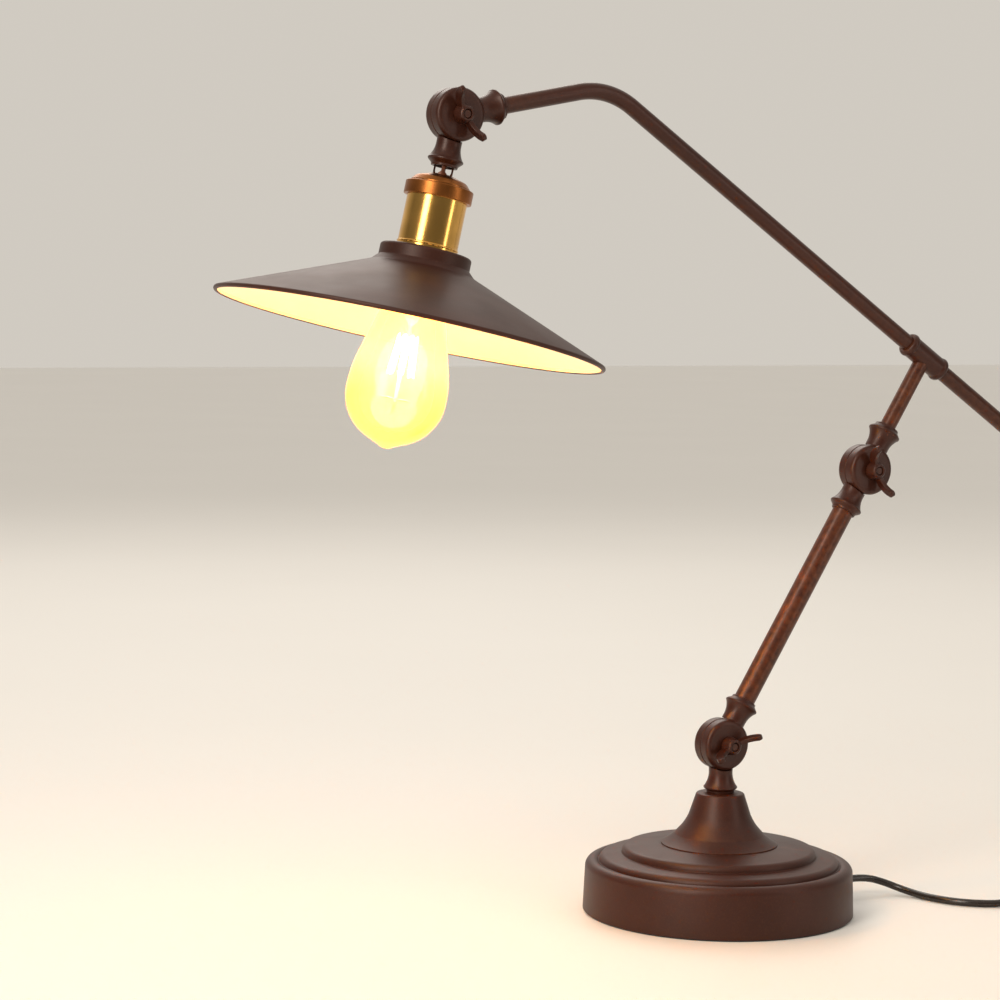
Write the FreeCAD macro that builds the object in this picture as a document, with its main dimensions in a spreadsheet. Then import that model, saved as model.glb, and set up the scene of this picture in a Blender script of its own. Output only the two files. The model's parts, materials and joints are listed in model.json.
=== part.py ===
import FreeCAD, Part
import Sketcher
import math
import os
import re

# Three-knuckle desk lamp. Millimetres, +Z up. The origin is the centre of the base's underside.
# The arms swing in the XZ plane: the shade hangs towards -X, the cord leaves the base at +X, and every
# knuckle pin lies along Y with its wing nut on the -Y side.

# ---- Driving sizes ------------------------------------------------------------------------------------
# Each name is an alias in the document's sheet. Angles are in degrees.
SIZES = {
    # base
    "felt_thickness": 1.0,
    "felt_inset": 1.0,
    "cover_thickness": 1.6,
    "base_radius": 92.0,
    "wall_lean": 1.1,
    "wall_top_height": 29.7,
    "bead_radius": 5.4,
    "step_one_inset": 10.5,
    "step_one_foot": 33.3,
    "step_two_inset": 25.9,
    "step_two_foot": 39.6,
    "step_rise": 0.9,
    "lip_radius": 4.2,
    "plate_height": 46.6,
    "plate_flat_radius": 41.0,
    "shell_wall": 1.6,
    "weight_inset": 8.0,
    "weight_top": 17.0,
    "weight_boss_foot_radius": 31.0,
    "weight_boss_radius": 26.0,
    "nut_well_radius": 20.0,
    "nut_well_height": 38.5,
    "channel_gap": 1.5,
    "cover_screw_circle": 55.0,
    "cover_screw_radius": 2.0,
    "cover_screw_head_radius": 3.6,
    "cover_screw_length": 12.0,
    "screw_end_gap": 1.0,
    "cover_screw_count": 3,
    # cone riser
    "cone_foot_radius": 39.5,
    "cone_foot_edge": 0.8,
    "cone_flare_radius": 39.4,
    "cone_flare_top_radius": 21.0,
    "cone_flare_top_height": 67.0,
    "cone_top_radius": 16.2,
    "cone_top_height": 82.0,
    "cone_shoulder": 2.2,
    "cone_wall": 2.6,
    # threaded tube through the base
    "nipple_radius": 5.0,
    "nipple_bore": 3.5,
    "nipple_foot": 31.0,
    "nipple_engagement": 9.0,
    "nut_across_flats": 17.0,
    "nut_height": 5.0,
    "nut_washer_radius": 12.0,
    "nut_washer_thickness": 1.5,
    "seat_gap": 0.05,
    "cut_margin": 1.0,
    # knuckles
    "knuckle_radius": 17.2,
    "knuckle_thickness": 18.0,
    "knuckle_edge": 3.0,
    "parting_gap": 0.3,
    "relief_gap": 0.4,
    "neck_root": 8.0,
    "neck_radius": 8.1,
    "neck_flare_start": 18.5,
    "neck_flare_radius": 16.1,
    "collar_radius": 11.5,
    "collar_foot": 28.4,
    "collar_edge": 0.7,
    "collar_width": 2.2,
    "socket_start": 25.5,
    "collar_end": 34.0,
    "spigot_radius": 9.4,
    "spigot_end": 33.2,
    "spigot_socket_start": 24.0,
    "lip_end_radius": 8.6,
    "lip_taper": 2.0,
    "wire_bore": 3.5,
    "wire_bore_start": 9.0,
    "washer_radius": 13.0,
    "washer_thickness": 0.9,
    "bolt_radius": 2.95,
    "bolt_head_radius": 6.5,
    "bolt_head_rim": 1.1,
    "bolt_head_height": 3.0,
    "bolt_fit": 0.05,
    "bolt_clearance": 0.25,
    "bolt_chamfer": 0.6,
    "bolt_recess": 1.0,
    # wing nuts
    "wing_gap": 0.3,
    "hub_radius": 6.3,
    "hub_top_radius": 5.0,
    "hub_height": 8.0,
    "hub_foot": 1.2,
    "hub_round": 0.8,
    "wing_root": 0.9,
    "wing_foot": 1.0,
    "wing_shoulder": 1.0,
    "wing_step": 2.6,
    "wing_step_height": 1.6,
    "wing_curve": 16.0,
    "wing_span_radius": 18.6,
    "wing_tip_foot": 11.9,
    "wing_tip_top": 15.1,
    "wing_tip_inner_radius": 14.6,
    "wing_tip_radius": 2.6,
    "wing_inner_curve": 14.0,
    "wing_throat": 0.8,
    "wing_thickness": 3.0,
    "wing_bore_fit": 0.1,
    "wing_angle_base": 24.0,
    "wing_angle_elbow": -68.0,
    "wing_angle_head": -62.0,
    # arms: lengths and leans
    "lower_arm_length": 217.1,
    "lower_arm_angle": 31.88,
    "upper_arm_length": 91.6,
    "upper_arm_angle": 31.97,
    "bar_angle": 33.64,
    "bar_reach": 317.5,
    "bar_bend_radius": 55.0,
    "bar_bend_angle": 44.97,
    "bar_front": 115.0,
    "bar_tail": 160.0,
    "lower_tube_radius": 7.25,
    "lower_tube_wall": 1.2,
    "bar_radius": 5.5,
    "bar_wall": 1.0,
    "sleeve_radius": 7.75,
    "sleeve_length": 36.0,
    "band_radius": 8.5,
    "band_width": 4.4,
    "sleeve_end_chamfer": 0.6,
    "grub_screw_radius": 2.0,
    "grub_screw_length": 2.1,
    "wire_way_radius": 3.0,
    "cap_radius": 6.7,
    "cap_length": 8.0,
    "cap_edge": 0.5,
    # head: heights above the plane of the shade's rim
    "head_drop": 138.4,
    "head_tilt": 12.5,
    "rim_radius": 125.8,
    "rim_roll": 1.5,
    "cone_edge_radius": 33.5,
    "cone_edge_height": 38.4,
    "shade_neck_radius": 29.3,
    "shade_neck_foot": 42.5,
    "shade_neck_round": 2.0,
    "shade_top": 50.5,
    "shade_wall": 0.8,
    "shade_hole": 15.2,
    "shade_fillet": 9.0,
    "ring_radius": 22.0,
    "ring_height": 5.0,
    "insert_radius": 18.2,
    "insert_top": 78.0,
    "skirt_radius": 15.0,
    "skirt_foot": 41.0,
    "insert_bore": 14.1,
    "insert_floor": 68.0,
    "insert_wire_hole": 2.0,
    "thread_shell_radius": 14.0,
    "thread_shell_wall": 0.4,
    "thread_shell_foot": 42.0,
    "thread_shell_top": 66.0,
    "contact_radius": 4.0,
    "contact_height": 63.4,
    "contact_thickness": 0.8,
    "contact_stud": 2.0,
    "shell_radius": 19.2,
    "shell_sheet": 0.8,
    "shell_top": 89.5,
    "shell_bead": 0.6,
    "shell_bead_height": 53.4,
    "shell_bead_half": 0.9,
    "socket_cap_radius": 21.75,
    "socket_cap_foot": 83.6,
    "socket_cap_shoulder": 92.0,
    "dome_foot_radius": 19.2,
    "dome_edge_radius": 16.4,
    "dome_edge_height": 95.8,
    "dome_top": 98.6,
    "dome_flat_radius": 9.0,
    "dome_sheet": 1.1,
    "vent_radius": 6.35,
    "vent_bore": 4.9,
    "vent_foot": 93.0,
    "window_foot": 99.3,
    "window_height": 6.2,
    "window_width": 7.2,
    "window_angle": 15.2,
    "vent_nut_radius": 8.7,
    "vent_nut_height": 4.0,
    "head_lead_radius": 1.1,
    "head_lead_reach": 3.0,
    # bulb
    "bulb_radius": 32.0,
    "bulb_centre": -42.5,
    "bulb_wall": 0.8,
    "bulb_taper_foot_radius": 27.6,
    "bulb_taper_foot": -15.5,
    "bulb_side_radius": 91.0,
    "bulb_taper_top_radius": 13.3,
    "bulb_taper_top": 33.0,
    "bulb_neck_radius": 12.2,
    "bulb_neck_foot": 35.5,
    "bulb_neck_top": 44.0,
    "bulb_nipple_radius": 3.0,
    "bulb_tip": -76.6,
    "bulb_cap_radius": 13.2,
    "bulb_cap_wall": 0.6,
    "bulb_cap_foot": 36.5,
    "bulb_cap_top": 58.0,
    "bulb_contact_radius": 4.8,
    "bulb_contact_foot": 61.0,
    "stem_radius": 4.2,
    "stem_pinch": 6.0,
    "stem_foot": 2.0,
    "stem_rod_radius": 1.2,
    "stem_rod_foot": -47.0,
    "filament_wire": 0.35,
    "filament_pairs": 8,
    "filament_top": 4.0,
    "filament_top_radius": 5.6,
    "filament_foot": -45.0,
    "filament_foot_radius": 10.0,
    "spoke_radius": 0.3,
    # cord
    "cord_radius": 2.5,
    "cord_exit_height": 12.0,
    "gland_radius": 4.6,
    "gland_tip_radius": 3.3,
    "gland_length": 20.0,
    "gland_shoulder": 0.4,
    "gland_flange_radius": 6.2,
    "gland_flange": 1.6,
    "gland_setback": 0.7,
    "coil_pitch": 5.45,
    "coil_outer_radius": 41.5,
    "coil_turn_count": 4,
    "coil_layer_rise": 5.5,
    "coil_tail": 8.0,
    "switch_length": 52.0,
    "switch_width": 24.0,
    "switch_foot": 0.3,
    "switch_height": 15.0,
    "switch_corner": 6.0,
    "switch_edge": 2.0,
    "switch_axis": 6.5,
    "switch_bore_gap": 0.1,
    "rocker_length": 15.0,
    "rocker_width": 8.0,
    "rocker_gap": 0.6,
    "rocker_well": 5.0,
    "rocker_edge": 1.6,
    "rocker_dip": 0.7,
    "rocker_side": 1.2,
    "rocker_heel": 1.0,
    "rocker_keel": 3.2,
    "rocker_tilt": 7.0,
    "plug_length": 34.0,
    "plug_width": 26.0,
    "plug_thickness": 15.4,
    "plug_neck_width": 11.4,
    "plug_taper": 1.0,
    "plug_edge": 3.0,
    "plug_boot_length": 14.0,
    "plug_boot_radius": 4.6,
    "plug_boot_tip": 3.4,
    "plug_boot_root": 2.0,
    "pin_radius": 2.0,
    "pin_length": 19.0,
    "pin_spacing": 19.0,
}

# Route of the cord from the gland's tip to the switch, chosen along the photographed curve, and from the
# switch's far end down to the coil, as steps (across, aside, height) from that end.
LEAD_ROUTE = [
    (112.0, 0.0, 12.0),
    (124.5, 0.0, 12.0),
    (137.0, -4.6, 8.4),
    (146.2, -15.2, 4.1),
    (150.4, -29.5, 2.6),
    (153.6, -44.0, 2.6),
    (160.5, -58.0, 2.6),
    (171.5, -69.0, 2.6),
    (186.0, -76.0, 2.6),
    (201.5, -80.0, 6.5),
    (214.0, -80.0, 6.5),
]
LINK_ROUTE = [
    (0.0, 0.0, 6.5),
    (11.5, 0.0, 6.5),
    (23.5, 0.0, 2.6),
    (34.5, 0.0, 2.6),
]

os.makedirs("parts", exist_ok=True)
doc = FreeCAD.newDocument("desk_lamp")
Vector = FreeCAD.Vector
Placement = FreeCAD.Placement
Rotation = FreeCAD.Rotation
AHEAD = Vector(1, 0, 0)

sheet = doc.addObject("Spreadsheet::Sheet", "Sizes")
for row, (alias, number) in enumerate(SIZES.items(), start=1):
    sheet.set(f"A{row}", alias)
    sheet.set(f"B{row}", str(number))
    sheet.setAlias(f"B{row}", alias)
doc.recompute()

nodes = []
WORD = re.compile("[a-z][a-z_]*")


# ---- Helpers ------------------------------------------------------------------------------------------
def bound(text):
    """The expression with each size's name pointed at the sheet."""
    return WORD.sub(lambda found: f"Sizes.{found[0]}" if found[0] in SIZES else found[0], str(text))


def value(text):
    """An expression's number, as the sheet has it now."""
    return float(sheet.evalExpression(bound(text)))


def turn(angle):
    """Rotation about Y that carries +Z towards +X."""
    return Rotation(Vector(0, 1, 0), angle)


def flat_turn(angle):
    """Rotation that carries +Z to -Y and +X to the given angle in the XZ plane, measured from +X to +Z."""
    return Rotation(Vector(0, 1, 0), -angle).multiply(Rotation(Vector(1, 0, 0), 90))


def along(angle, distance):
    """A step in the XZ plane, in the direction that leans by the angle from +Z towards +X."""
    return Vector(math.sin(math.radians(angle)) * distance, 0, math.cos(math.radians(angle)) * distance)


def new_body(label):
    body = doc.addObject("PartDesign::Body", label)
    body.Label = label
    nodes.append(body)
    return body


def origin_plane(body, role):
    return next(plane for plane in body.Origin.OriginFeatures if plane.Role == role)


def sketch_on(body, name, role, lift=None):
    """A sketch on one of the body's own planes, lifted along the plane's normal by an expression."""
    sketch = body.newObject("Sketcher::SketchObject", name)
    sketch.AttachmentSupport = [(origin_plane(body, role), "")]
    sketch.MapMode = "FlatFace"
    if lift is not None:
        sketch.setExpression("AttachmentOffset.Base.z", bound(lift))
    return sketch


def bind(sketch, kind, geometry, point, text):
    """Ties a coordinate or a radius of the sketch to an expression."""
    number = value(text)
    if kind == "Radius":
        index = sketch.addConstraint(Sketcher.Constraint(kind, geometry, number))
    else:
        index = sketch.addConstraint(Sketcher.Constraint(kind, -1, 1, geometry, point, number))
    name = f"size_{index}"
    sketch.renameConstraint(index, name)
    sketch.setExpression("Constraints." + name, bound(text))


def draw(sketch, corners, closed=True):
    """Lines and arcs through corners (across, up[, radius]). A radius bows the edge that follows: positive
    turns left along the way, negative turns right."""
    count = len(corners)
    places = [Vector(value(corner[0]), value(corner[1]), 0) for corner in corners]
    ends = []
    for index in range(count if closed else count - 1):
        start, finish = places[index], places[(index + 1) % count]
        if len(corners[index]) > 2:
            radius = value(corners[index][2])
            chord = finish - start
            half = chord.Length / 2
            left = Vector(-chord.y, chord.x, 0).normalize()
            rise = math.sqrt(max(radius * radius - half * half, 0.0))
            centre = start + chord * 0.5 + left * (rise if radius > 0 else -rise)
            first, last = (start, finish) if radius > 0 else (finish, start)
            angles = [math.atan2(place.y - centre.y, place.x - centre.x) for place in (first, last)]
            circle = Part.Circle(centre, Vector(0, 0, 1), abs(radius))
            edge = sketch.addGeometry(Part.ArcOfCircle(circle, angles[0], angles[1]), False)
            ends.append((edge, 1, 2) if radius > 0 else (edge, 2, 1))
        else:
            edge = sketch.addGeometry(Part.LineSegment(start, finish), False)
            ends.append((edge, 1, 2))
    for index, (edge, first, last) in enumerate(ends):
        if closed or index + 1 < len(ends):
            following = ends[(index + 1) % len(ends)]
            sketch.addConstraint(Sketcher.Constraint("Coincident", edge, last, following[0], following[1]))
        bind(sketch, "DistanceX", edge, first, corners[index][0])
        bind(sketch, "DistanceY", edge, first, corners[index][1])
        if len(corners[index]) > 2:
            text = corners[index][2]
            bind(sketch, "Radius", edge, 0, text if value(text) > 0 else f"-({text})")
    if not closed:
        bind(sketch, "DistanceX", ends[-1][0], ends[-1][2], corners[-1][0])
        bind(sketch, "DistanceY", ends[-1][0], ends[-1][2], corners[-1][1])
    return sketch


def draw_circle(sketch, across, up, radius):
    centre = Vector(value(across), value(up), 0)
    edge = sketch.addGeometry(Part.Circle(centre, Vector(0, 0, 1), value(radius)), False)
    bind(sketch, "DistanceX", edge, 3, across)
    bind(sketch, "DistanceY", edge, 3, up)
    bind(sketch, "Radius", edge, 0, radius)
    return sketch


def revolve(body, sketch, axis="V_Axis", cut=False):
    kind = "PartDesign::Groove" if cut else "PartDesign::Revolution"
    feature = body.newObject(kind, sketch.Name + ("_groove" if cut else "_revolution"))
    feature.Profile = sketch
    feature.ReferenceAxis = (sketch, [axis])
    feature.Angle = 360
    sketch.Visibility = False
    return feature


def extrude(body, sketch, length, cut=False, both_ways=False, backwards=False):
    kind = "PartDesign::Pocket" if cut else "PartDesign::Pad"
    feature = body.newObject(kind, sketch.Name + ("_pocket" if cut else "_pad"))
    feature.Profile = sketch
    feature.setExpression("Length", bound(length))
    feature.Midplane = both_ways
    feature.Reversed = backwards
    return feature


def repeat(body, feature, count, axis_role="Z_Axis"):
    """Copies of a feature round one of the body's own axes."""
    pattern = body.newObject("PartDesign::PolarPattern", feature.Name + "_pattern")
    pattern.Originals = [feature]
    pattern.Axis = (origin_plane(body, axis_role), [""])
    pattern.Angle = 360
    pattern.setExpression("Occurrences", bound(count))
    body.Tip = pattern
    return pattern


def turned(label, corners, place=None, axis="V_Axis", role="XZ_Plane"):
    """A body turned from one outline: (radius, height) about Z, or (distance, radius) about X or Y."""
    body = new_body(label)
    revolve(body, draw(sketch_on(body, label + "_outline", role), corners), axis)
    if place is not None:
        body.Placement = place
    return body


def groove(body, name, corners, axis="V_Axis", role="XZ_Plane"):
    return revolve(body, draw(sketch_on(body, name, role), corners), axis, cut=True)


def ring(label, outer, bore, foot, top, place=None):
    """A plain tube or washer about Z."""
    corners = [(bore, foot), (outer, foot), (outer, top), (bore, top)]
    return turned(label, corners, place)


def solid_node(label, shape, place=None):
    """A sub-part whose shape is worked out directly."""
    feature = doc.addObject("Part::Feature", label)
    feature.Label = label
    feature.Shape = shape
    if place is not None:
        feature.Placement = place
    nodes.append(feature)
    return feature


# ---- Frames -------------------------------------------------------------------------------------------
lower_lean = value("lower_arm_angle")
upper_lean = value("upper_arm_angle")
base_knuckle = Vector(0, 0, value("cone_top_height + spigot_end"))
elbow_knuckle = base_knuckle + along(lower_lean, value("lower_arm_length"))
tee_centre = elbow_knuckle + along(upper_lean, value("upper_arm_length"))
bar_direction = 180 - value("bar_angle")
front_direction = bar_direction + value("bar_bend_angle")
bend_corner = tee_centre + along(90 - bar_direction, value("bar_reach"))
head_knuckle = bend_corner + along(90 - front_direction, value("bar_front"))
head_tilt = value("head_tilt")
rim_centre = head_knuckle - along(head_tilt, value("head_drop"))

lower_frame = Placement(base_knuckle, turn(lower_lean))
bar_frame = Placement(tee_centre, flat_turn(bar_direction))
head_frame = Placement(rim_centre, turn(head_tilt))


# ---- Base ---------------------------------------------------------------------------------------------
def make_base():
    wall_top = "(base_radius - wall_lean)"
    step_one = "(base_radius - step_one_inset)"
    step_two = "(base_radius - step_two_inset)"
    turned("base_shell", [
        ("base_radius", "felt_thickness"),
        (wall_top, "wall_top_height", "bead_radius"),
        (step_one, "step_one_foot"),
        (step_one, "step_one_foot + step_rise", "lip_radius"),
        (f"{step_one} - lip_radius", "step_one_foot + step_rise + lip_radius"),
        (step_two, "step_two_foot"),
        (step_two, "step_two_foot + step_rise", "lip_radius"),
        (f"{step_two} - lip_radius", "step_two_foot + step_rise + lip_radius"),
        ("plate_flat_radius", "plate_height"),
        ("nipple_radius + seat_gap", "plate_height"),
        ("nipple_radius + seat_gap", "plate_height - shell_wall"),
        ("plate_flat_radius", "plate_height - shell_wall"),
        (f"{step_two} - lip_radius", "step_two_foot + step_rise + lip_radius - shell_wall"),
        (f"{step_two} - shell_wall", "step_two_foot + step_rise"),
        (f"{step_two} - shell_wall", "step_two_foot - shell_wall"),
        (f"{step_one} - lip_radius", "step_one_foot + step_rise + lip_radius - shell_wall"),
        (f"{step_one} - shell_wall", "step_one_foot + step_rise"),
        (f"{step_one} - shell_wall", "step_one_foot - shell_wall"),
        (f"{wall_top} - shell_wall", "wall_top_height"),
        ("base_radius - shell_wall", "felt_thickness"),
    ])
    shell = nodes[-1]
    exit_hole = sketch_on(shell, "cord_hole", "YZ_Plane")
    draw_circle(exit_hole, 0, "cord_exit_height", "gland_radius + seat_gap")
    extrude(shell, exit_hole, "base_radius + cut_margin", cut=True, backwards=True)

    cover_top = "felt_thickness + cover_thickness"
    weight_radius = "(base_radius - weight_inset)"
    weight = turned("base_weight", [
        ("nut_well_radius", cover_top),
        (weight_radius, cover_top),
        (weight_radius, "weight_top"),
        ("weight_boss_foot_radius", "weight_top"),
        ("weight_boss_radius", "nut_well_height"),
        ("weight_boss_radius", "plate_height - shell_wall"),
        ("nipple_radius + seat_gap", "plate_height - shell_wall"),
        ("nipple_radius + seat_gap", "nut_well_height"),
        ("nut_well_radius", "nut_well_height"),
    ])
    channel = draw(sketch_on(weight, "cord_channel", "YZ_Plane"), [
        ("-(cord_radius + channel_gap)", cover_top),
        ("cord_radius + channel_gap", cover_top),
        ("cord_radius + channel_gap", "cord_exit_height + cord_radius + channel_gap"),
        ("-(cord_radius + channel_gap)", "cord_exit_height + cord_radius + channel_gap"),
    ])
    extrude(weight, channel, f"{weight_radius} + cut_margin", cut=True, backwards=True)
    screw_hole = draw_circle(sketch_on(weight, "cover_screw_hole", "XY_Plane", cover_top),
                             "-cover_screw_circle", 0, "cover_screw_radius + seat_gap")
    drilled = extrude(weight, screw_hole, "cover_screw_length", cut=True, backwards=True)
    repeat(weight, drilled, "cover_screw_count")

    cover = ring("bottom_cover", "base_radius - shell_wall - parting_gap", 0, "felt_thickness", cover_top)
    cover_hole = draw_circle(sketch_on(cover, "cover_hole", "XY_Plane", "felt_thickness"),
                             "-cover_screw_circle", 0, "cover_screw_head_radius + seat_gap")
    drilled = extrude(cover, cover_hole, "cover_thickness", cut=True, backwards=True)
    repeat(cover, drilled, "cover_screw_count")

    screws = new_body("cover_screws")
    head = draw_circle(sketch_on(screws, "screw_head", "XY_Plane", "felt_thickness"),
                       "-cover_screw_circle", 0, "cover_screw_head_radius")
    first = extrude(screws, head, "cover_thickness")
    repeat(screws, first, "cover_screw_count")
    shank = draw_circle(sketch_on(screws, "screw_shank", "XY_Plane", cover_top),
                        "-cover_screw_circle", 0, "cover_screw_radius")
    second = extrude(screws, shank, "cover_screw_length - screw_end_gap")
    repeat(screws, second, "cover_screw_count")

    ring("felt_pad", "base_radius - felt_inset", 0, 0, "felt_thickness")


def make_riser():
    turned("cone_riser", [
        ("cone_foot_radius", "plate_height"),
        ("cone_foot_radius", "plate_height + cone_foot_edge", "-cone_flare_radius"),
        ("cone_flare_top_radius", "cone_flare_top_height"),
        ("cone_top_radius", "cone_top_height - cone_shoulder", "cone_shoulder"),
        ("cone_top_radius - cone_shoulder", "cone_top_height"),
        ("nipple_radius + seat_gap", "cone_top_height"),
        ("nipple_radius + seat_gap", "cone_top_height - cone_wall"),
        ("cone_top_radius - cone_wall", "cone_top_height - cone_wall"),
        ("cone_flare_top_radius - cone_wall", "cone_flare_top_height", "cone_flare_radius + cone_wall"),
        ("cone_foot_radius - cone_wall", "plate_height"),
    ])
    tube_top = "cone_top_height + nipple_engagement"
    ring("threaded_tube", "nipple_radius", "nipple_bore", "nipple_foot", tube_top)
    washer_foot = "nut_well_height - nut_washer_thickness"
    ring("tube_washer", "nut_washer_radius", "nipple_radius + seat_gap", washer_foot, "nut_well_height")
    nut = new_body("tube_nut")
    hexagon = [(f"nut_across_flats / 2 / cos(30deg) * cos({60 * side}deg)",
                f"nut_across_flats / 2 / cos(30deg) * sin({60 * side}deg)") for side in range(6)]
    flats = draw(sketch_on(nut, "nut_outline", "XY_Plane", f"{washer_foot} - nut_height"), hexagon)
    draw_circle(flats, 0, 0, "nipple_radius + seat_gap")
    extrude(nut, flats, "nut_height")


# ---- Knuckles -----------------------------------------------------------------------------------------
HALF = "knuckle_thickness / 2"
FACE = "parting_gap / 2"


def knuckle_half(label, side, place, bore_radius, end_radius, end_height, bore_start, taper="lip_taper"):
    """One half of a knuckle: a disc on one side of the pin's midplane, and a neck along +Z with a collar.
    side is 1 for the half that holds the pivot bolt and its washer, -1 for the half under the wing nut."""
    body = new_body(label)
    sign = "" if side > 0 else "-1 * "
    neck = draw(sketch_on(body, label + "_neck", "XZ_Plane"), [
        (0, "neck_root"),
        ("neck_radius", "neck_root"),
        ("neck_radius", "neck_flare_start", "-neck_flare_radius"),
        ("collar_radius - collar_edge", "collar_foot"),
        ("collar_radius", "collar_foot + collar_edge"),
        ("collar_radius", "collar_foot + collar_width - collar_edge"),
        ("collar_radius - collar_edge", "collar_foot + collar_width"),
        (end_radius, f"collar_foot + collar_width + {taper}"),
        (end_radius, end_height),
        (0, end_height),
    ])
    revolve(body, neck)
    edge_radius = "knuckle_edge" if side < 0 else "-knuckle_edge"
    disc = draw(sketch_on(body, label + "_disc", "YZ_Plane"), [
        (f"{sign}({FACE})", 0),
        (f"{sign}({FACE})", "knuckle_radius - parting_gap"),
        (f"{sign}({FACE} + parting_gap)", "knuckle_radius"),
        (f"{sign}({HALF} - knuckle_edge)", "knuckle_radius", edge_radius),
        (f"{sign}({HALF})", "knuckle_radius - knuckle_edge"),
        (f"{sign}({HALF})", 0),
    ])
    revolve(body, disc, "H_Axis")
    relief = [
        (f"{sign}(-collar_radius - cut_margin)", 0),
        (f"{sign}(-collar_radius - cut_margin)", "knuckle_radius + relief_gap"),
        (f"{sign}({FACE})", "knuckle_radius + relief_gap"),
    ]
    if side > 0:
        relief += [
            (FACE, "washer_radius + seat_gap"),
            (f"{FACE} + washer_thickness", "washer_radius + seat_gap"),
            (f"{FACE} + washer_thickness", "bolt_radius + bolt_fit"),
            (f"{HALF} + cut_margin", "bolt_radius + bolt_fit"),
            (f"{HALF} + cut_margin", 0),
        ]
    else:
        relief += [
            (f"-({FACE})", "bolt_radius + bolt_clearance"),
            (f"-({HALF} + cut_margin)", "bolt_radius + bolt_clearance"),
            (f"-({HALF} + cut_margin)", 0),
        ]
    groove(body, label + "_relief", relief, "H_Axis", "YZ_Plane")
    groove(body, label + "_bore", [
        (0, "wire_bore_start"),
        ("wire_bore", "wire_bore_start"),
        ("wire_bore", bore_start),
        (bore_radius, bore_start),
        (bore_radius, f"{end_height} + cut_margin"),
        (0, f"{end_height} + cut_margin"),
    ])
    body.Placement = place
    return body


def pivot_set(name, centre, lean, wing_angle):
    """The bolt and friction washer of one knuckle, and the wing nut that tightens it."""
    place = Placement(centre, turn(lean))
    turned(name + "_friction_washer", [
        (FACE, "bolt_radius + bolt_fit"),
        (f"{FACE} + washer_thickness", "bolt_radius + bolt_fit"),
        (f"{FACE} + washer_thickness", "washer_radius"),
        (FACE, "washer_radius"),
    ], place, "H_Axis", "YZ_Plane")
    bolt_end = f"({HALF} + wing_gap + hub_height - bolt_recess)"
    rise = "(bolt_head_height - bolt_head_rim)"
    dome = f"(bolt_head_radius ^ 2 + {rise} ^ 2) / 2 / {rise}"
    turned(name + "_pivot_bolt", [
        (f"-{bolt_end}", 0),
        (f"-{bolt_end}", "bolt_radius - bolt_chamfer"),
        (f"-{bolt_end} + bolt_chamfer", "bolt_radius"),
        (HALF, "bolt_radius"),
        (HALF, "bolt_head_radius"),
        (f"{HALF} + bolt_head_rim", "bolt_head_radius", f"-({dome})"),
        (f"{HALF} + bolt_head_height", 0),
    ], place, "H_Axis", "YZ_Plane")

    wing_nut = new_body(name + "_wing_nut")
    hub = draw(sketch_on(wing_nut, name + "_hub", "XZ_Plane"), [
        ("bolt_radius + wing_bore_fit", 0),
        ("hub_radius", 0),
        ("hub_radius", "hub_foot"),
        ("hub_top_radius", "hub_height - hub_round"),
        ("hub_top_radius - hub_round", "hub_height"),
        ("bolt_radius + wing_bore_fit", "hub_height"),
    ])
    revolve(wing_nut, hub)
    wing = draw(sketch_on(wing_nut, name + "_wing", "XZ_Plane"), [
        ("bolt_radius + wing_root", "wing_foot"),
        ("hub_radius + wing_step", "wing_step_height", "wing_curve"),
        ("wing_span_radius", "wing_tip_foot", "wing_tip_radius"),
        ("wing_tip_inner_radius", "wing_tip_top", "-wing_inner_curve"),
        ("hub_top_radius + wing_throat", "hub_height - wing_shoulder"),
        ("bolt_radius + wing_root", "hub_height - wing_shoulder"),
    ])
    first = extrude(wing_nut, wing, "wing_thickness", both_ways=True)
    repeat(wing_nut, first, 2)
    seat = Vector(0, -value(HALF) - value("wing_gap"), 0)
    wing_nut.Placement = Placement(centre + seat, flat_turn(value(wing_angle)))


def make_knuckles():
    bar_bore = "bar_radius + seat_gap"
    arm_bore = "lower_tube_radius + seat_gap"
    lip = "lip_end_radius"
    base_place = Placement(base_knuckle, turn(180))
    knuckle_half("base_knuckle", 1, base_place, "nipple_radius + seat_gap", "spigot_radius", "spigot_end",
                 "spigot_socket_start", "collar_edge")
    pivot_set("base", base_knuckle, 0, "wing_angle_base")
    knuckle_half("arm_foot_knuckle", -1, lower_frame, arm_bore, lip, "collar_end", "socket_start")
    knuckle_half("arm_head_knuckle", 1, Placement(elbow_knuckle, turn(lower_lean + 180)), arm_bore, lip,
                 "collar_end", "socket_start")
    pivot_set("elbow", elbow_knuckle, lower_lean, "wing_angle_elbow")
    knuckle_half("elbow_knuckle", -1, Placement(elbow_knuckle, turn(upper_lean)), bar_bore, lip,
                 "collar_end", "socket_start")
    knuckle_half("bar_knuckle", -1, Placement(head_knuckle, turn(90 - front_direction + 180)), bar_bore,
                 lip, "collar_end", "socket_start")
    head_place = Placement(head_knuckle, turn(head_tilt + 180))
    knuckle_half("head_knuckle", 1, head_place, "vent_radius + seat_gap",
                 lip, "collar_end", "socket_start")
    pivot_set("head", head_knuckle, head_tilt, "wing_angle_head")


# ---- Arms ---------------------------------------------------------------------------------------------
def make_arms():
    ring("lower_tube", "lower_tube_radius", "lower_tube_radius - lower_tube_wall", "socket_start",
         "lower_arm_length - socket_start", lower_frame)
    make_short_tube()
    make_sleeve()
    make_bar()


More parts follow.
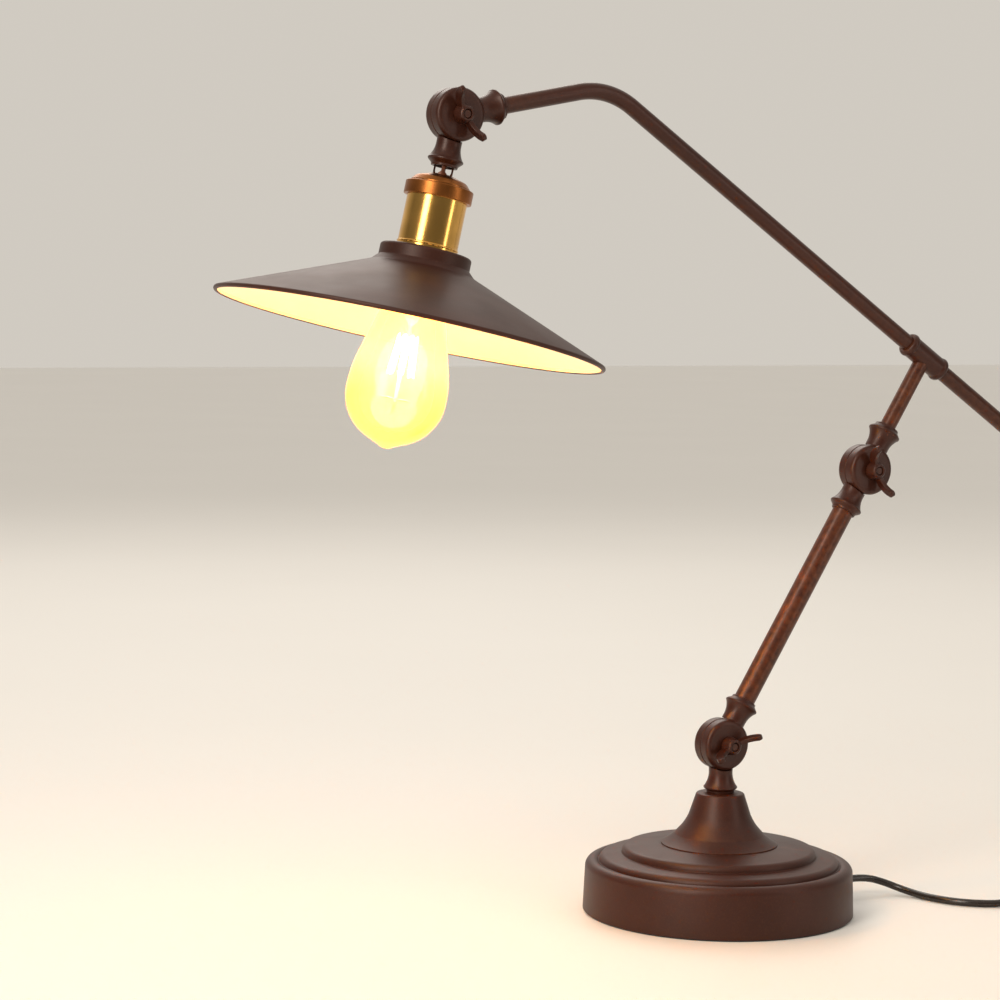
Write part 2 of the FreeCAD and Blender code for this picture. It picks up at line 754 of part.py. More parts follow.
def make_short_tube():
    """The tube from the elbow to the sleeve, its upper end coped to the sleeve's round."""
    tube = ring("short_tube", "bar_radius", "bar_radius - bar_wall", "socket_start", "upper_arm_length",
                Placement(elbow_knuckle, turn(upper_lean)))
    saddle = sketch_on(tube, "sleeve_saddle", "XZ_Plane")
    lean = value("upper_arm_angle - bar_angle")
    end = Vector(0, value("upper_arm_length"), 0)
    saddle.AttachmentOffset = Placement(end, Rotation(Vector(0, 0, 1), lean))
    half = "sleeve_radius + seat_gap"
    draw(saddle, [
        ("-sleeve_length", 0),
        ("sleeve_length", 0),
        ("sleeve_length", half),
        ("-sleeve_length", half),
    ])
    revolve(tube, saddle, "H_Axis", cut=True)


def make_sleeve():
    """The sleeve that joins the short tube to the long bar, with a raised band at each end."""
    half = "sleeve_length / 2"
    bow = "(band_width ^ 2 / 4 + (band_radius - sleeve_radius) ^ 2) / 2 / (band_radius - sleeve_radius)"
    inner = f"{half} - band_width - sleeve_end_chamfer"
    outer = f"{half} - sleeve_end_chamfer"
    sleeve = turned("tee_sleeve", [
        (f"-({half})", "bar_radius + seat_gap"),
        (half, "bar_radius + seat_gap"),
        (half, "sleeve_radius - sleeve_end_chamfer"),
        (outer, "sleeve_radius", bow),
        (inner, "sleeve_radius"),
        (f"-({inner})", "sleeve_radius", bow),
        (f"-({outer})", "sleeve_radius"),
        (f"-({half})", "sleeve_radius - sleeve_end_chamfer"),
    ], bar_frame, "H_Axis")
    screw_hole = sketch_on(sleeve, "grub_screw_hole", "XY_Plane")
    draw_circle(screw_hole, 0, 0, "grub_screw_radius + seat_gap")
    extrude(sleeve, screw_hole, "sleeve_radius + cut_margin", cut=True)
    wire_way = draw_circle(sketch_on(sleeve, "wire_way", "XZ_Plane"), 0, 0, "wire_way_radius")
    extrude(sleeve, wire_way, "sleeve_radius + cut_margin", cut=True)
    hidden_side = Placement(Vector(0, 0, 0), Rotation(Vector(1, 0, 0), 180))
    turned("tee_grub_screw", [
        (0, "bar_radius"),
        ("grub_screw_radius", "bar_radius"),
        ("grub_screw_radius", "bar_radius + grub_screw_length"),
        (0, "bar_radius + grub_screw_length"),
    ], bar_frame.multiply(hidden_side))


def make_bar():
    """The long bar: straight, one large bend, and the front run to the head's knuckle."""
    setback = "bar_bend_radius * tan(bar_bend_angle / 2 * 1deg)"
    run = f"(bar_front - socket_start - {setback})"
    turn_cos = "cos(bar_bend_angle * 1deg)"
    turn_sin = "sin(bar_bend_angle * 1deg)"
    across = f"bar_reach - {setback} + bar_bend_radius * {turn_sin}"
    up = f"bar_bend_radius * (1 - {turn_cos})"
    path = doc.addObject("Sketcher::SketchObject", "bar_path")
    draw(path, [
        ("-bar_tail", 0),
        (f"bar_reach - {setback}", 0, "bar_bend_radius"),
        (across, up),
        (f"{across} + {run} * {turn_cos}", f"{up} + {run} * {turn_sin}"),
    ], closed=False)
    doc.recompute()
    tubes = []
    for name, radius in (("bar_outside", "bar_radius"), ("bar_inside", "bar_radius - bar_wall")):
        circle = doc.addObject("Part::Circle", name + "_circle")
        circle.setExpression("Radius", bound(radius))
        circle.Placement = Placement(Vector(0, 0, 0), Rotation(Vector(0, 1, 0), 90))
        circle.setExpression("Placement.Base.x", bound("-bar_tail"))
        tube = doc.addObject("Part::Sweep", name)
        tube.Sections = [circle]
        tube.Spine = (path, [f"Edge{index + 1}" for index in range(len(path.Shape.Edges))])
        tube.Solid = True
        tubes.append(tube)
    wire_way = doc.addObject("Part::Cylinder", "bar_wire_way")
    wire_way.setExpression("Radius", bound("wire_way_radius"))
    wire_way.setExpression("Height", bound("bar_radius + cut_margin"))
    wire_way.Placement = Placement(Vector(0, 0, 0), Rotation(Vector(1, 0, 0), -90))
    hollow = doc.addObject("Part::Cut", "bar_tube")
    hollow.Base, hollow.Tool = tubes
    bar = doc.addObject("Part::Cut", "long_bar")
    bar.Base, bar.Tool = hollow, wire_way
    bar.Placement = bar_frame
    nodes.append(bar)
    turned("bar_end_cap", [
        ("-bar_tail + cap_length", "bar_radius + seat_gap"),
        ("-bar_tail + cap_length", "cap_radius - cap_edge"),
        ("-bar_tail + cap_length - cap_edge", "cap_radius"),
        ("-bar_tail", "cap_radius", "cap_radius"),
        ("-bar_tail - cap_radius", 0),
        ("-bar_tail - seat_gap", 0),
        ("-bar_tail - seat_gap", "bar_radius + seat_gap"),
    ], bar_frame, "H_Axis")


# ---- Head ---------------------------------------------------------------------------------------------
def make_shade():
    slope = "(cone_edge_height / (rim_radius - cone_edge_radius))"
    inner_edge = f"cone_edge_radius - shade_wall * {slope}"
    neck_round = "(shade_neck_round - shade_wall)"
    shade = turned("shade", [
        ("rim_radius - rim_roll", 0),
        ("cone_edge_radius", "cone_edge_height", "-shade_fillet"),
        ("shade_neck_radius", "shade_neck_foot"),
        ("shade_neck_radius", "shade_top - shade_neck_round", "shade_neck_round"),
        ("shade_neck_radius - shade_neck_round", "shade_top"),
        ("shade_hole", "shade_top"),
        ("shade_hole", "shade_top - shade_wall"),
        ("shade_neck_radius - shade_neck_round", "shade_top - shade_wall", f"-{neck_round}"),
        ("shade_neck_radius - shade_wall", "shade_top - shade_neck_round"),
        ("shade_neck_radius - shade_wall", "shade_neck_foot", "shade_fillet + shade_wall"),
        (inner_edge, "cone_edge_height - shade_wall"),
        ("rim_radius - rim_roll - shade_wall", "-shade_wall"),
    ], head_frame)
    roll = draw_circle(sketch_on(shade, "rim_roll_section", "XZ_Plane"), "rim_radius - rim_roll",
                       "-shade_wall / 2", "rim_roll")
    revolve(shade, roll)
    ring("shade_ring", "ring_radius", "skirt_radius + seat_gap", "shade_top - shade_wall - ring_height",
         "shade_top - shade_wall", head_frame)


def make_socket():
    turned("socket_insert", [
        ("insert_bore", "skirt_foot"),
        ("skirt_radius", "skirt_foot"),
        ("skirt_radius", "shade_top"),
        ("insert_radius", "shade_top"),
        ("insert_radius", "insert_top"),
        ("insert_wire_hole", "insert_top"),
        ("insert_wire_hole", "insert_floor"),
        ("insert_bore", "insert_floor"),
    ], head_frame)
    ring("thread_shell", "thread_shell_radius", "thread_shell_radius - thread_shell_wall",
         "thread_shell_foot", "thread_shell_top", head_frame)
    turned("centre_contact", [
        (0, "contact_height"),
        ("contact_radius", "contact_height"),
        ("contact_radius", "contact_height + contact_thickness"),
        ("insert_wire_hole - seat_gap", "contact_height + contact_thickness"),
        ("insert_wire_hole - seat_gap", "insert_floor + contact_stud"),
        (0, "insert_floor + contact_stud"),
    ], head_frame)
    turned("socket_shell", [
        ("shell_radius - shell_sheet", "shade_top"),
        ("shell_radius", "shade_top"),
        ("shell_radius", "shell_bead_height - shell_bead_half",
         "(shell_bead_half ^ 2 + shell_bead ^ 2) / 2 / shell_bead"),
        ("shell_radius", "shell_bead_height + shell_bead_half"),
        ("shell_radius", "shell_top"),
        ("shell_radius - shell_sheet", "shell_top"),
    ], head_frame)
    turned("socket_cap", [
        ("shell_radius + seat_gap", "socket_cap_foot"),
        ("socket_cap_radius - 0.4", "socket_cap_foot"),
        ("socket_cap_radius", "socket_cap_foot + 0.4"),
        ("socket_cap_radius", "socket_cap_shoulder - 0.9", "0.9"),
        ("socket_cap_radius - 0.9", "socket_cap_shoulder"),
        ("dome_foot_radius", "socket_cap_shoulder"),
        ("dome_foot_radius", "socket_cap_shoulder + 0.8", "4.2"),
        ("dome_edge_radius", "dome_edge_height"),
        ("dome_flat_radius", "dome_top"),
        ("vent_radius + seat_gap", "dome_top"),
        ("vent_radius + seat_gap", "dome_top - dome_sheet"),
        ("dome_flat_radius", "dome_top - dome_sheet"),
        ("dome_edge_radius - dome_sheet", "dome_edge_height - dome_sheet"),
        ("dome_foot_radius - dome_sheet", "socket_cap_shoulder"),
        ("shell_radius + seat_gap", "shell_top"),
    ], head_frame)
    twist = Placement(Vector(0, 0, 0), Rotation(Vector(0, 0, 1), value("window_angle")))
    vent_top = "head_drop - socket_start"
    vent = ring("vented_neck", "vent_radius", "vent_bore", "vent_foot", vent_top)
    vent.Placement = head_frame.multiply(twist)
    window = draw(sketch_on(vent, "window", "XZ_Plane"), [
        ("-window_width / 2", "window_foot + window_width / 4"),
        ("-window_width / 4", "window_foot"),
        ("window_width / 4", "window_foot"),
        ("window_width / 2", "window_foot + window_width / 4"),
        ("window_width / 2", "window_foot + window_height"),
        ("-window_width / 2", "window_foot + window_height"),
    ])
    opened = extrude(vent, window, "vent_radius + cut_margin", cut=True)
    repeat(vent, opened, 4)
    ring("vent_nut", "vent_nut_radius", "vent_radius + seat_gap", "dome_top - dome_sheet - vent_nut_height",
         "dome_top - dome_sheet", head_frame)
    ring("head_lead", "head_lead_radius", 0, "insert_floor + contact_stud + seat_gap",
         f"{vent_top} + head_lead_reach", head_frame)


def make_bulb():
    turned("bulb_cap", [
        ("bulb_cap_radius - bulb_cap_wall", "bulb_cap_foot"),
        ("bulb_cap_radius", "bulb_cap_foot"),
        ("bulb_cap_radius", "bulb_cap_top"),
        ("bulb_contact_radius", "bulb_contact_foot"),
        ("bulb_contact_radius - bulb_cap_wall", "contact_height"),
        (0, "contact_height"),
        (0, "bulb_contact_foot"),
        ("bulb_contact_radius - bulb_cap_wall", "bulb_contact_foot - bulb_cap_wall"),
        ("bulb_cap_radius - bulb_cap_wall", "bulb_cap_top - bulb_cap_wall"),
    ], head_frame)
    tip_height = "bulb_centre - sqrt(bulb_radius ^ 2 - bulb_nipple_radius ^ 2)"
    inside = "(bulb_radius - bulb_wall)"
    turned("bulb_glass", [
        ("bulb_neck_radius", "bulb_neck_top"),
        ("bulb_neck_radius - bulb_wall", "bulb_neck_top"),
        ("bulb_neck_radius - bulb_wall", "bulb_neck_foot"),
        ("bulb_taper_top_radius - bulb_wall", "bulb_taper_top"),
        ("bulb_taper_foot_radius - bulb_wall", "bulb_taper_foot", "-(bulb_side_radius - bulb_wall)"),
        (inside, "bulb_centre", f"-{inside}"),
        (0, f"bulb_centre - {inside}"),
        (0, "bulb_tip"),
        ("bulb_nipple_radius", tip_height, "bulb_radius"),
        ("bulb_radius", "bulb_centre", "bulb_side_radius"),
        ("bulb_taper_foot_radius", "bulb_taper_foot"),
        ("bulb_taper_top_radius", "bulb_taper_top"),
        ("bulb_neck_radius", "bulb_neck_foot"),
    ], head_frame)
    flare_radius = "bulb_neck_radius - bulb_wall - seat_gap"
    turned("bulb_stem", [
        (0, "bulb_neck_top"),
        (flare_radius, "bulb_neck_top"),
        (flare_radius, "bulb_neck_top - bulb_wall"),
        ("stem_radius", "bulb_neck_foot"),
        ("stem_radius", "stem_pinch"),
        ("stem_rod_radius", "stem_foot"),
        ("stem_rod_radius", "stem_rod_foot + stem_rod_radius", "-stem_rod_radius"),
        (0, "stem_rod_foot"),
    ], head_frame)
    make_filament()


def make_filament():
    """The cage of wire round the stem, up and down between its hooks, and the spokes that hold its foot."""
    wire = value("filament_wire")
    foot_radius = value("filament_foot_radius")
    pairs = int(value("filament_pairs"))
    hooks = []
    for index in range(2 * pairs):
        radius = foot_radius if index % 2 else value("filament_top_radius")
        height = value("filament_foot") if index % 2 else value("filament_top")
        angle = math.pi * index / pairs
        hooks.append(Vector(radius * math.cos(angle), radius * math.sin(angle), height))
    strands = [Part.makeCylinder(wire, (finish - start).Length, start, finish - start)
               for start, finish in zip(hooks, hooks[1:])]
    corners = [Part.makeSphere(wire, hook) for hook in hooks[1:-1]]
    solid_node("filament", strands[0].multiFuse(strands[1:] + corners), head_frame)
    spoke_start = value("stem_rod_radius + seat_gap")
    spoke = value("spoke_radius")
    spokes = []
    for hook in hooks[1::2]:
        outward = Vector(hook.x, hook.y, 0).normalize()
        start = Vector(0, 0, hook.z) + outward * spoke_start
        reach = foot_radius - wire - value("seat_gap") - spoke_start
        spokes.append(Part.makeCylinder(spoke, reach, start, outward))
    solid_node("filament_spokes", Part.makeCompound(spokes), head_frame)


# ---- Cord ---------------------------------------------------------------------------------------------
def arc_between(start, tangent, finish):
    """The arc that leaves start along tangent and ends at finish."""
    chord = finish - start
    side = tangent - chord * (tangent.dot(chord) / chord.dot(chord))
    if side.Length < 1e-9:
        return Part.LineSegment(start, finish).toShape()
    angle = tangent.getAngle(chord)
    middle = start + chord * 0.5 + side.normalize() * (chord.Length / 2 * math.tan(angle / 2))
    return Part.Arc(start, middle, finish).toShape()


def rounded_route(points, share=0.45):
    """Straight runs joined by tangent arcs, each as large as its two runs allow, and the arcs' radii."""
    edges, radii, start = [], [], points[0]
    for before, corner, after in zip(points, points[1:], points[2:]):
        incoming = corner - before
        outgoing = after - corner
        setback = share * min(incoming.Length, outgoing.Length)
        angle = incoming.getAngle(outgoing)
        radii.append(setback / math.tan(angle / 2))
        first = corner - incoming.normalize() * setback
        last = corner + outgoing.normalize() * setback
        edges.append(Part.LineSegment(start, first).toShape())
        edges.append(arc_between(first, incoming, last))
        start = last
    edges.append(Part.LineSegment(start, points[-1]).toShape())
    return edges, radii


def biarc(start, leaving, finish, arriving):
    """Two tangent arcs from start to finish with the given unit directions at the ends."""
    chord = finish - start
    both = leaving + arriving
    spread = 2 * (1 - leaving.dot(arriving))
    lean = chord.dot(both)
    reach = (-lean + math.sqrt(lean * lean + spread * chord.dot(chord))) / spread
    joint = (start + leaving * reach + finish - arriving * reach) * 0.5
    along_joint = (finish - arriving * reach - start - leaving * reach).normalize()
    return [arc_between(start, leaving, joint), arc_between(joint, along_joint, finish)]


def swept(label, edges):
    """The cord along tangent edges. Its volume is set against its section times its length."""
    radius = value("cord_radius")
    path = Part.Wire(edges)
    start = edges[0].valueAt(edges[0].FirstParameter)
    direction = edges[0].tangentAt(edges[0].FirstParameter)
    section = Part.Wire([Part.Circle(start, direction, radius).toShape()])
    tube = path.makePipeShell([section], True, False)
    share = tube.Volume / (math.pi * radius * radius * path.Length)
    print(f"{label}: length {path.Length:.1f} mm, volume {share:.4f} of section times length")
    solid_node(label, tube)
    return path.Length


def coil_place(start, turns):
    """A point on the coil, that many turns from its start: in along the first layer, up a layer in the half
    turn where the spiral reverses, and out along the second."""
    inward = value("coil_turn_count")
    depth = min(turns, inward + 0.25) - max(turns - inward - 0.25, 0.0)
    radius = value("coil_outer_radius") - value("coil_pitch") * depth
    climbed = min(max(turns - inward, 0.0), 0.5)
    rise = value("coil_layer_rise") * (1 - math.cos(2 * math.pi * climbed)) / 2
    angle = 2 * math.pi * turns
    centre = start - Vector(0, value("coil_outer_radius"), 0)
    return centre + Vector(radius * math.sin(angle), radius * math.cos(angle), rise)


def make_coil(start):
    """The cord that is put away. It runs in along AHEAD and leaves the other way after an odd half turn."""
    small = 0.002
    quarters = int(8 * value("coil_turn_count")) + 2
    stations = [quarter / 4 for quarter in range(quarters + 1)]
    places = [coil_place(start, turns) for turns in stations]
    directions = [AHEAD]
    for turns in stations[1:-1]:
        directions.append((coil_place(start, turns + small) - coil_place(start, turns - small)).normalize())
    directions.append(AHEAD * -1)
    edges = [Part.LineSegment(start - AHEAD * value("2 * cord_radius"), start).toShape()]
    for index in range(quarters):
        edges += biarc(places[index], directions[index], places[index + 1], directions[index + 1])
    tail_end = places[-1] - AHEAD * value("coil_tail")
    edges.append(Part.LineSegment(places[-1], tail_end).toShape())
    length = swept("cord_coil", edges)
    print(f"cord_coil: least gap to itself {least_gap(edges):.2f} mm")
    return tail_end, length


def least_gap(edges):
    """The least gap between stretches of the coil that are more than a fifth of a turn apart."""
    steps = 8
    points = [point for edge in edges for point in edge.discretize(steps + 1)[:-1]]
    apart = 2 * steps
    least = min((first - second).Length for index, first in enumerate(points)
                for second in points[index + apart:])
    return least - value("2 * cord_radius")


def make_cord():
    lead = [Vector(*point) for point in LEAD_ROUTE]
    switch_near = lead[-1]
    switch_far = switch_near + AHEAD * value("switch_length")
    link = [Vector(switch_far.x + across, switch_far.y + aside, height)
            for across, aside, height in LINK_ROUTE]
    total = 0.0
    for label, route in (("cord_lead", lead), ("cord_link", link)):
        edges, radii = rounded_route(route)
        print(f"{label}: radii", " ".join(f"{radius:.0f}" for radius in radii), "mm")
        total += swept(label, edges)
    tail_end, length = make_coil(link[-1] + AHEAD * value("2 * cord_radius"))
    make_gland()
    make_base_lead()
    make_switch((switch_near + switch_far) * 0.5)
    make_plug(tail_end)
    total += length + value("switch_length")
    print(f"cord from the gland's tip to the plug: {total:.0f} mm")


def make_gland():
    """The tapered strain relief, held in the wall by its flange."""
    bore = "cord_radius + seat_gap"
    flange_face = "base_radius - shell_wall - gland_setback"
    turned("cord_gland", [
        (f"{flange_face} - gland_flange", bore),
        (f"{flange_face} - gland_flange", "gland_flange_radius"),
        (flange_face, "gland_flange_radius"),
        (flange_face, "gland_radius"),
        ("base_radius + gland_shoulder", "gland_radius"),
        ("base_radius + gland_length", "gland_tip_radius"),
        ("base_radius + gland_length", bore),
    ], Placement(Vector(0, 0, value("cord_exit_height")), Rotation()), "H_Axis")


def make_base_lead():
    """The lead from the gland's tip under the weight's slot and up the threaded tube, in one turn as large
    as the height below the tube allows."""
    height = value("cord_exit_height")
    foot = value("nipple_foot")
    radius = foot - height
    near = Vector(radius, 0, height)
    below = Vector(0, 0, foot)
    middle = Vector(radius, 0, foot) + Vector(-1, 0, -1).normalize() * radius
    top = Vector(0, 0, value("cone_top_height + nipple_engagement"))
    print(f"base_lead: radius {radius:.0f} mm")
    swept("base_lead", [
        Part.LineSegment(Vector(value("base_radius + gland_length"), 0, height), near).toShape(),
        Part.Arc(near, middle, below).toShape(),
        Part.LineSegment(below, top).toShape(),
    ])


def rounded_box(body, name, length, width, corner, foot, top):
    """A block with round corners, centred on the body's Z axis."""
    outline = draw(sketch_on(body, name, "XY_Plane", foot), [
        (f"-{length} / 2 + {corner}", f"-{width} / 2"),
        (f"{length} / 2 - {corner}", f"-{width} / 2", corner),
        (f"{length} / 2", f"-{width} / 2 + {corner}"),
        (f"{length} / 2", f"{width} / 2 - {corner}", corner),
        (f"{length} / 2 - {corner}", f"{width} / 2"),
        (f"-{length} / 2 + {corner}", f"{width} / 2", corner),
        (f"-{length} / 2", f"{width} / 2 - {corner}"),
        (f"-{length} / 2", f"-{width} / 2 + {corner}", corner),
    ])
    return extrude(body, outline, f"({top}) - ({foot})")


def make_switch(middle):
    """The in-line switch: two halves split at the cord's axis, and a rocker in the upper one."""
    place = Placement(Vector(middle.x, middle.y, 0), Rotation())
    switch_top = "switch_foot + switch_height"
    for label, foot, top in (("switch_base", "switch_foot", "switch_axis"),
                             ("switch_cover", "switch_axis", switch_top)):
        half = new_body(label)
        block = rounded_box(half, label + "_outline", "switch_length", "switch_width", "switch_corner",
                            foot, top)
        doc.recompute()
        height = value(foot if label == "switch_base" else top)
        rim = [f"Edge{index + 1}" for index, edge in enumerate(block.Shape.Edges)
               if abs(edge.BoundBox.Center.z - height) < edge.BoundBox.ZLength + 0.01
               and edge.BoundBox.ZLength < 0.01]
        rounding = half.newObject("PartDesign::Fillet", label + "_rounding")
        rounding.Base = (block, rim)
        rounding.setExpression("Radius", bound("switch_edge"))
        bore = draw_circle(sketch_on(half, label + "_bore", "YZ_Plane"), 0, "switch_axis",
                           "cord_radius + switch_bore_gap")
        extrude(half, bore, "switch_length + 2 * cut_margin", cut=True, both_ways=True)
        half.Placement = place
    cover = nodes[-1]
    opening = "(rocker_length + 2 * rocker_gap)"
    side = "(rocker_width / 2 + rocker_gap)"
    well = draw(sketch_on(cover, "rocker_well", "XY_Plane", switch_top), [
        (f"-{opening} / 2", f"-{side}"),
        (f"{opening} / 2", f"-{side}"),
        (f"{opening} / 2", side),
        (f"-{opening} / 2", side),
    ])
    extrude(cover, well, "rocker_well", cut=True)
    rocker = new_body("switch_rocker")
    half = "rocker_length / 2"
    profile = draw(sketch_on(rocker, "rocker_profile", "XZ_Plane"), [
        (f"-{half}", 0),
        (f"-{half} + rocker_heel", "-rocker_side"),
        (0, "-rocker_keel"),
        (f"{half} - rocker_heel", "-rocker_side"),
        (half, 0),
        (half, "rocker_edge"),
        (0, "rocker_dip"),
        (f"-{half}", "rocker_edge"),
    ])
    extrude(rocker, profile, "rocker_width", both_ways=True)
    pivot = Vector(middle.x, middle.y, value(switch_top))
    rocker.Placement = Placement(pivot, turn(value("rocker_tilt")))


def make_plug(tail_end):
    """A two-pin plug. Its boot meets the cord's end, and its pins point the way that the cord runs."""
    body = new_body("plug_body")
    nose = "plug_boot_length + plug_length"
    outline = draw(sketch_on(body, "plug_outline", "XY_Plane"), [
        ("plug_boot_length", "-plug_neck_width / 2"),
        ("plug_boot_length + plug_length / 2", "-plug_width / 2"),
        (nose, "-plug_width / 2 + plug_taper"),
        (nose, "plug_width / 2 - plug_taper"),
        ("plug_boot_length + plug_length / 2", "plug_width / 2"),
        ("plug_boot_length", "plug_neck_width / 2"),
    ])
    block = extrude(body, outline, "plug_thickness", both_ways=True)
    doc.recompute()
    nose_face = value(nose)
    rims = [f"Edge{index + 1}" for index, edge in enumerate(block.Shape.Edges)
            if edge.BoundBox.ZLength < 0.01 and edge.BoundBox.XMin < nose_face - 0.01]
    edging = body.newObject("PartDesign::Chamfer", "plug_edging")
    edging.Base = (block, rims)
    edging.setExpression("Size", bound("plug_edge"))
    boot = draw(sketch_on(body, "plug_boot", "XZ_Plane"), [
        (0, 0),
        (0, "plug_boot_tip"),
        ("plug_boot_length + plug_boot_root", "plug_boot_radius"),
        ("plug_boot_length + plug_boot_root", 0),
    ])
    revolve(body, boot, "H_Axis")
    body.Placement = Placement(tail_end, Rotation(Vector(0, 0, 1), 180))
    pins = []
    for side in (-0.5, 0.5):
        start = Vector(nose_face, side * value("pin_spacing"), 0)
        pins.append(Part.makeCylinder(value("pin_radius"), value("pin_length"), start, AHEAD))
    solid_node("plug_pins", Part.makeCompound(pins), body.Placement)


make_base()
make_riser()
make_knuckles()
make_arms()
make_shade()
make_socket()
make_bulb()
make_cord()
doc.recompute()

failed = [item.Label for item in doc.Objects if any(state in ("Invalid", "Error") for state in item.State)]
if failed:
    raise RuntimeError("not rebuilt: " + ", ".join(failed))
for node in nodes:
    shape = node.Shape
    if shape.isNull() or not shape.isValid() or shape.Volume <= 0:
        raise RuntimeError("no valid shape: " + node.Label)
for node in nodes:
    node.Shape.exportStep(f"parts/{node.Label}.step")
    print(f"{node.Label}: {len(node.Shape.Solids)} solid(s), {node.Shape.Volume / 1000:.2f} cm3")
print(len(nodes), "sub-parts")
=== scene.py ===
"""Desk lamp on three knuckles: the dressed pieces round its frame, their finishes, the light and the camera.

The lamp stands on the floor at Z = 0 with its base round the Z axis. Its arms lie in the XZ plane, the
shade hangs towards -X, and every wing nut is on the -Y side.
"""
import json
import math

import bmesh
import bpy
from mathutils import Matrix, Vector

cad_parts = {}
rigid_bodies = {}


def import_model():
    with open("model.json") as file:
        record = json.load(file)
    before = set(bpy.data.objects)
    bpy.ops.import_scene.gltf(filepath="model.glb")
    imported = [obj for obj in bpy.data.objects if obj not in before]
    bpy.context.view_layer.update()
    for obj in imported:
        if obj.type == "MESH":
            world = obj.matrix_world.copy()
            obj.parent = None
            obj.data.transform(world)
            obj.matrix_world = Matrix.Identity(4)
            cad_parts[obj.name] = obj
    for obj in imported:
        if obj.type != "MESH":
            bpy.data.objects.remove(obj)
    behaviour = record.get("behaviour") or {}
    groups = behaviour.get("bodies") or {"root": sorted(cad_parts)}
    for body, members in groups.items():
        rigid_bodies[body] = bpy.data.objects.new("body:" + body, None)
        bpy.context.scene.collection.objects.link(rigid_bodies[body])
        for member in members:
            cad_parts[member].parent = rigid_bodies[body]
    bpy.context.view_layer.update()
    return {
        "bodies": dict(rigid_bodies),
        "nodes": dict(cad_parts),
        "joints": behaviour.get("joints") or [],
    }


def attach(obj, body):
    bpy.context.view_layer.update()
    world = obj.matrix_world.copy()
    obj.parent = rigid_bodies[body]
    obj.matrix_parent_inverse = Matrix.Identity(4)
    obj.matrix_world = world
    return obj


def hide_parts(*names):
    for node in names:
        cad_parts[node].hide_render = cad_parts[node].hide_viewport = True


bl_info = {
    "name": "Three-knuckle desk lamp",
    "version": (1, 0, 0),
    "blender": (4, 5, 0),
    "location": "3D View > Sidebar > Desk lamp",
    "description": "Builds the pieces of a desk lamp with three knuckles round its frame",
    "category": "Object",
}

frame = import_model()
NODES = frame["nodes"]
PIVOTS = {joint["name"]: Vector(joint["pos_m"]) for joint in frame["joints"]}
MM = 0.001

# ---- Places of the lamp's parts, from its joints --------------------------------------------------------
ELBOW = PIVOTS["elbow_tilt"]
HEAD_KNUCKLE = PIVOTS["shade_tilt"]
HEAD_TILT = math.radians(12.5)
HEAD_DROP = 138.4 * MM
BAR_SLOPE = math.radians(33.64)
SLEEVE_FROM_ELBOW = 91.6 * MM
CORD_HEIGHT = 12.0 * MM
UPPER_LEAN = math.radians(31.97)
KNUCKLE_REACH = 25.5 * MM

# ---- Metal thicknesses and small radii that the CAD nodes share, in millimetres -------------------------
BASE_SHEET = 1.6
BASE_BEAD = 5.4
BASE_LIP = 4.2
RISER_SHEET = 2.6
TUBE_HOLE = 5.05
SOCKET_SHEET = 0.8
SHADE_SHEET = 0.8
SHADE_ROLL = 1.5
GLASS = 0.8
CORD_HOLE = 2.55

# ---- Sizes of the cells that small castings are rounded with --------------------------------------------
WING_GRAIN = 0.3 * MM
PLUG_GRAIN = 0.5 * MM

# ---- The camera -----------------------------------------------------------------------------------------
CAMERA_PLACE = (-1.0989, -1.6110, 0.4383)
CAMERA_HEADING = Vector((0.4969, 0.8678, 0.0))
CAMERA_PITCH, CAMERA_ROLL = 0.0820, 0.0174
CAMERA_LENS = 104.15


def leaning(origin, angle):
    """The place whose Z axis leans towards +X by that angle."""
    return Matrix.Translation(origin) @ Matrix.Rotation(angle, 4, "Y")


HEAD_PLACE = leaning(HEAD_KNUCKLE, HEAD_TILT) @ Matrix.Translation((0, 0, -HEAD_DROP))
SLEEVE = leaning(ELBOW, UPPER_LEAN) @ Vector((0, 0, SLEEVE_FROM_ELBOW))
BAR_PLACE = leaning(SLEEVE, BAR_SLOPE - math.pi / 2)


# ---- Sizes and colours that a user would change ---------------------------------------------------------
def length(name, description, millimetres):
    return bpy.props.FloatProperty(name=name, description=description, default=millimetres * MM, min=0.0,
                                   subtype="DISTANCE", unit="LENGTH", precision=5)


def colour(name, description, default):
    return bpy.props.FloatVectorProperty(name=name, description=description, default=default, size=3,
                                         min=0.0, max=1.0, subtype="COLOR")


class BaseSizes(bpy.types.PropertyGroup):
    foot_radius: length("Foot radius", "Radius of the base at the felt", 92.0)
    wall_height: length("Wall height", "Height where the base's wall rounds inwards", 29.7)
    step_one_radius: length("First step", "Radius of the first step", 81.5)
    step_two_radius: length("Second step", "Radius of the second step", 66.1)
    plate_height: length("Plate height", "Height of the base's flat top", 46.6)
    riser_foot_radius: length("Riser foot", "Radius of the riser where it stands on the base", 39.5)
    riser_top_radius: length("Riser top", "Radius of the riser's flat top", 16.2)
    riser_height: length("Riser height", "Height of the riser's top above the table", 82.0)
    felt_thickness: length("Felt", "Thickness of the felt under the base", 1.0)


class ArmSizes(bpy.types.PropertyGroup):
    bar_radius: length("Bar radius", "Outside radius of the long bar", 5.5)
    bend_radius: length("Bend radius", "Radius of the bar's bend, to its centre line", 55.0)
    bar_reach: length("Bar reach", "From the sleeve to the corner of the bend", 317.5)
    bar_tail: length("Bar tail", "Length of the bar behind the sleeve", 160.0)
    casting_grain: length("Casting grain", "Size of the cells that a casting is rounded with", 0.4)


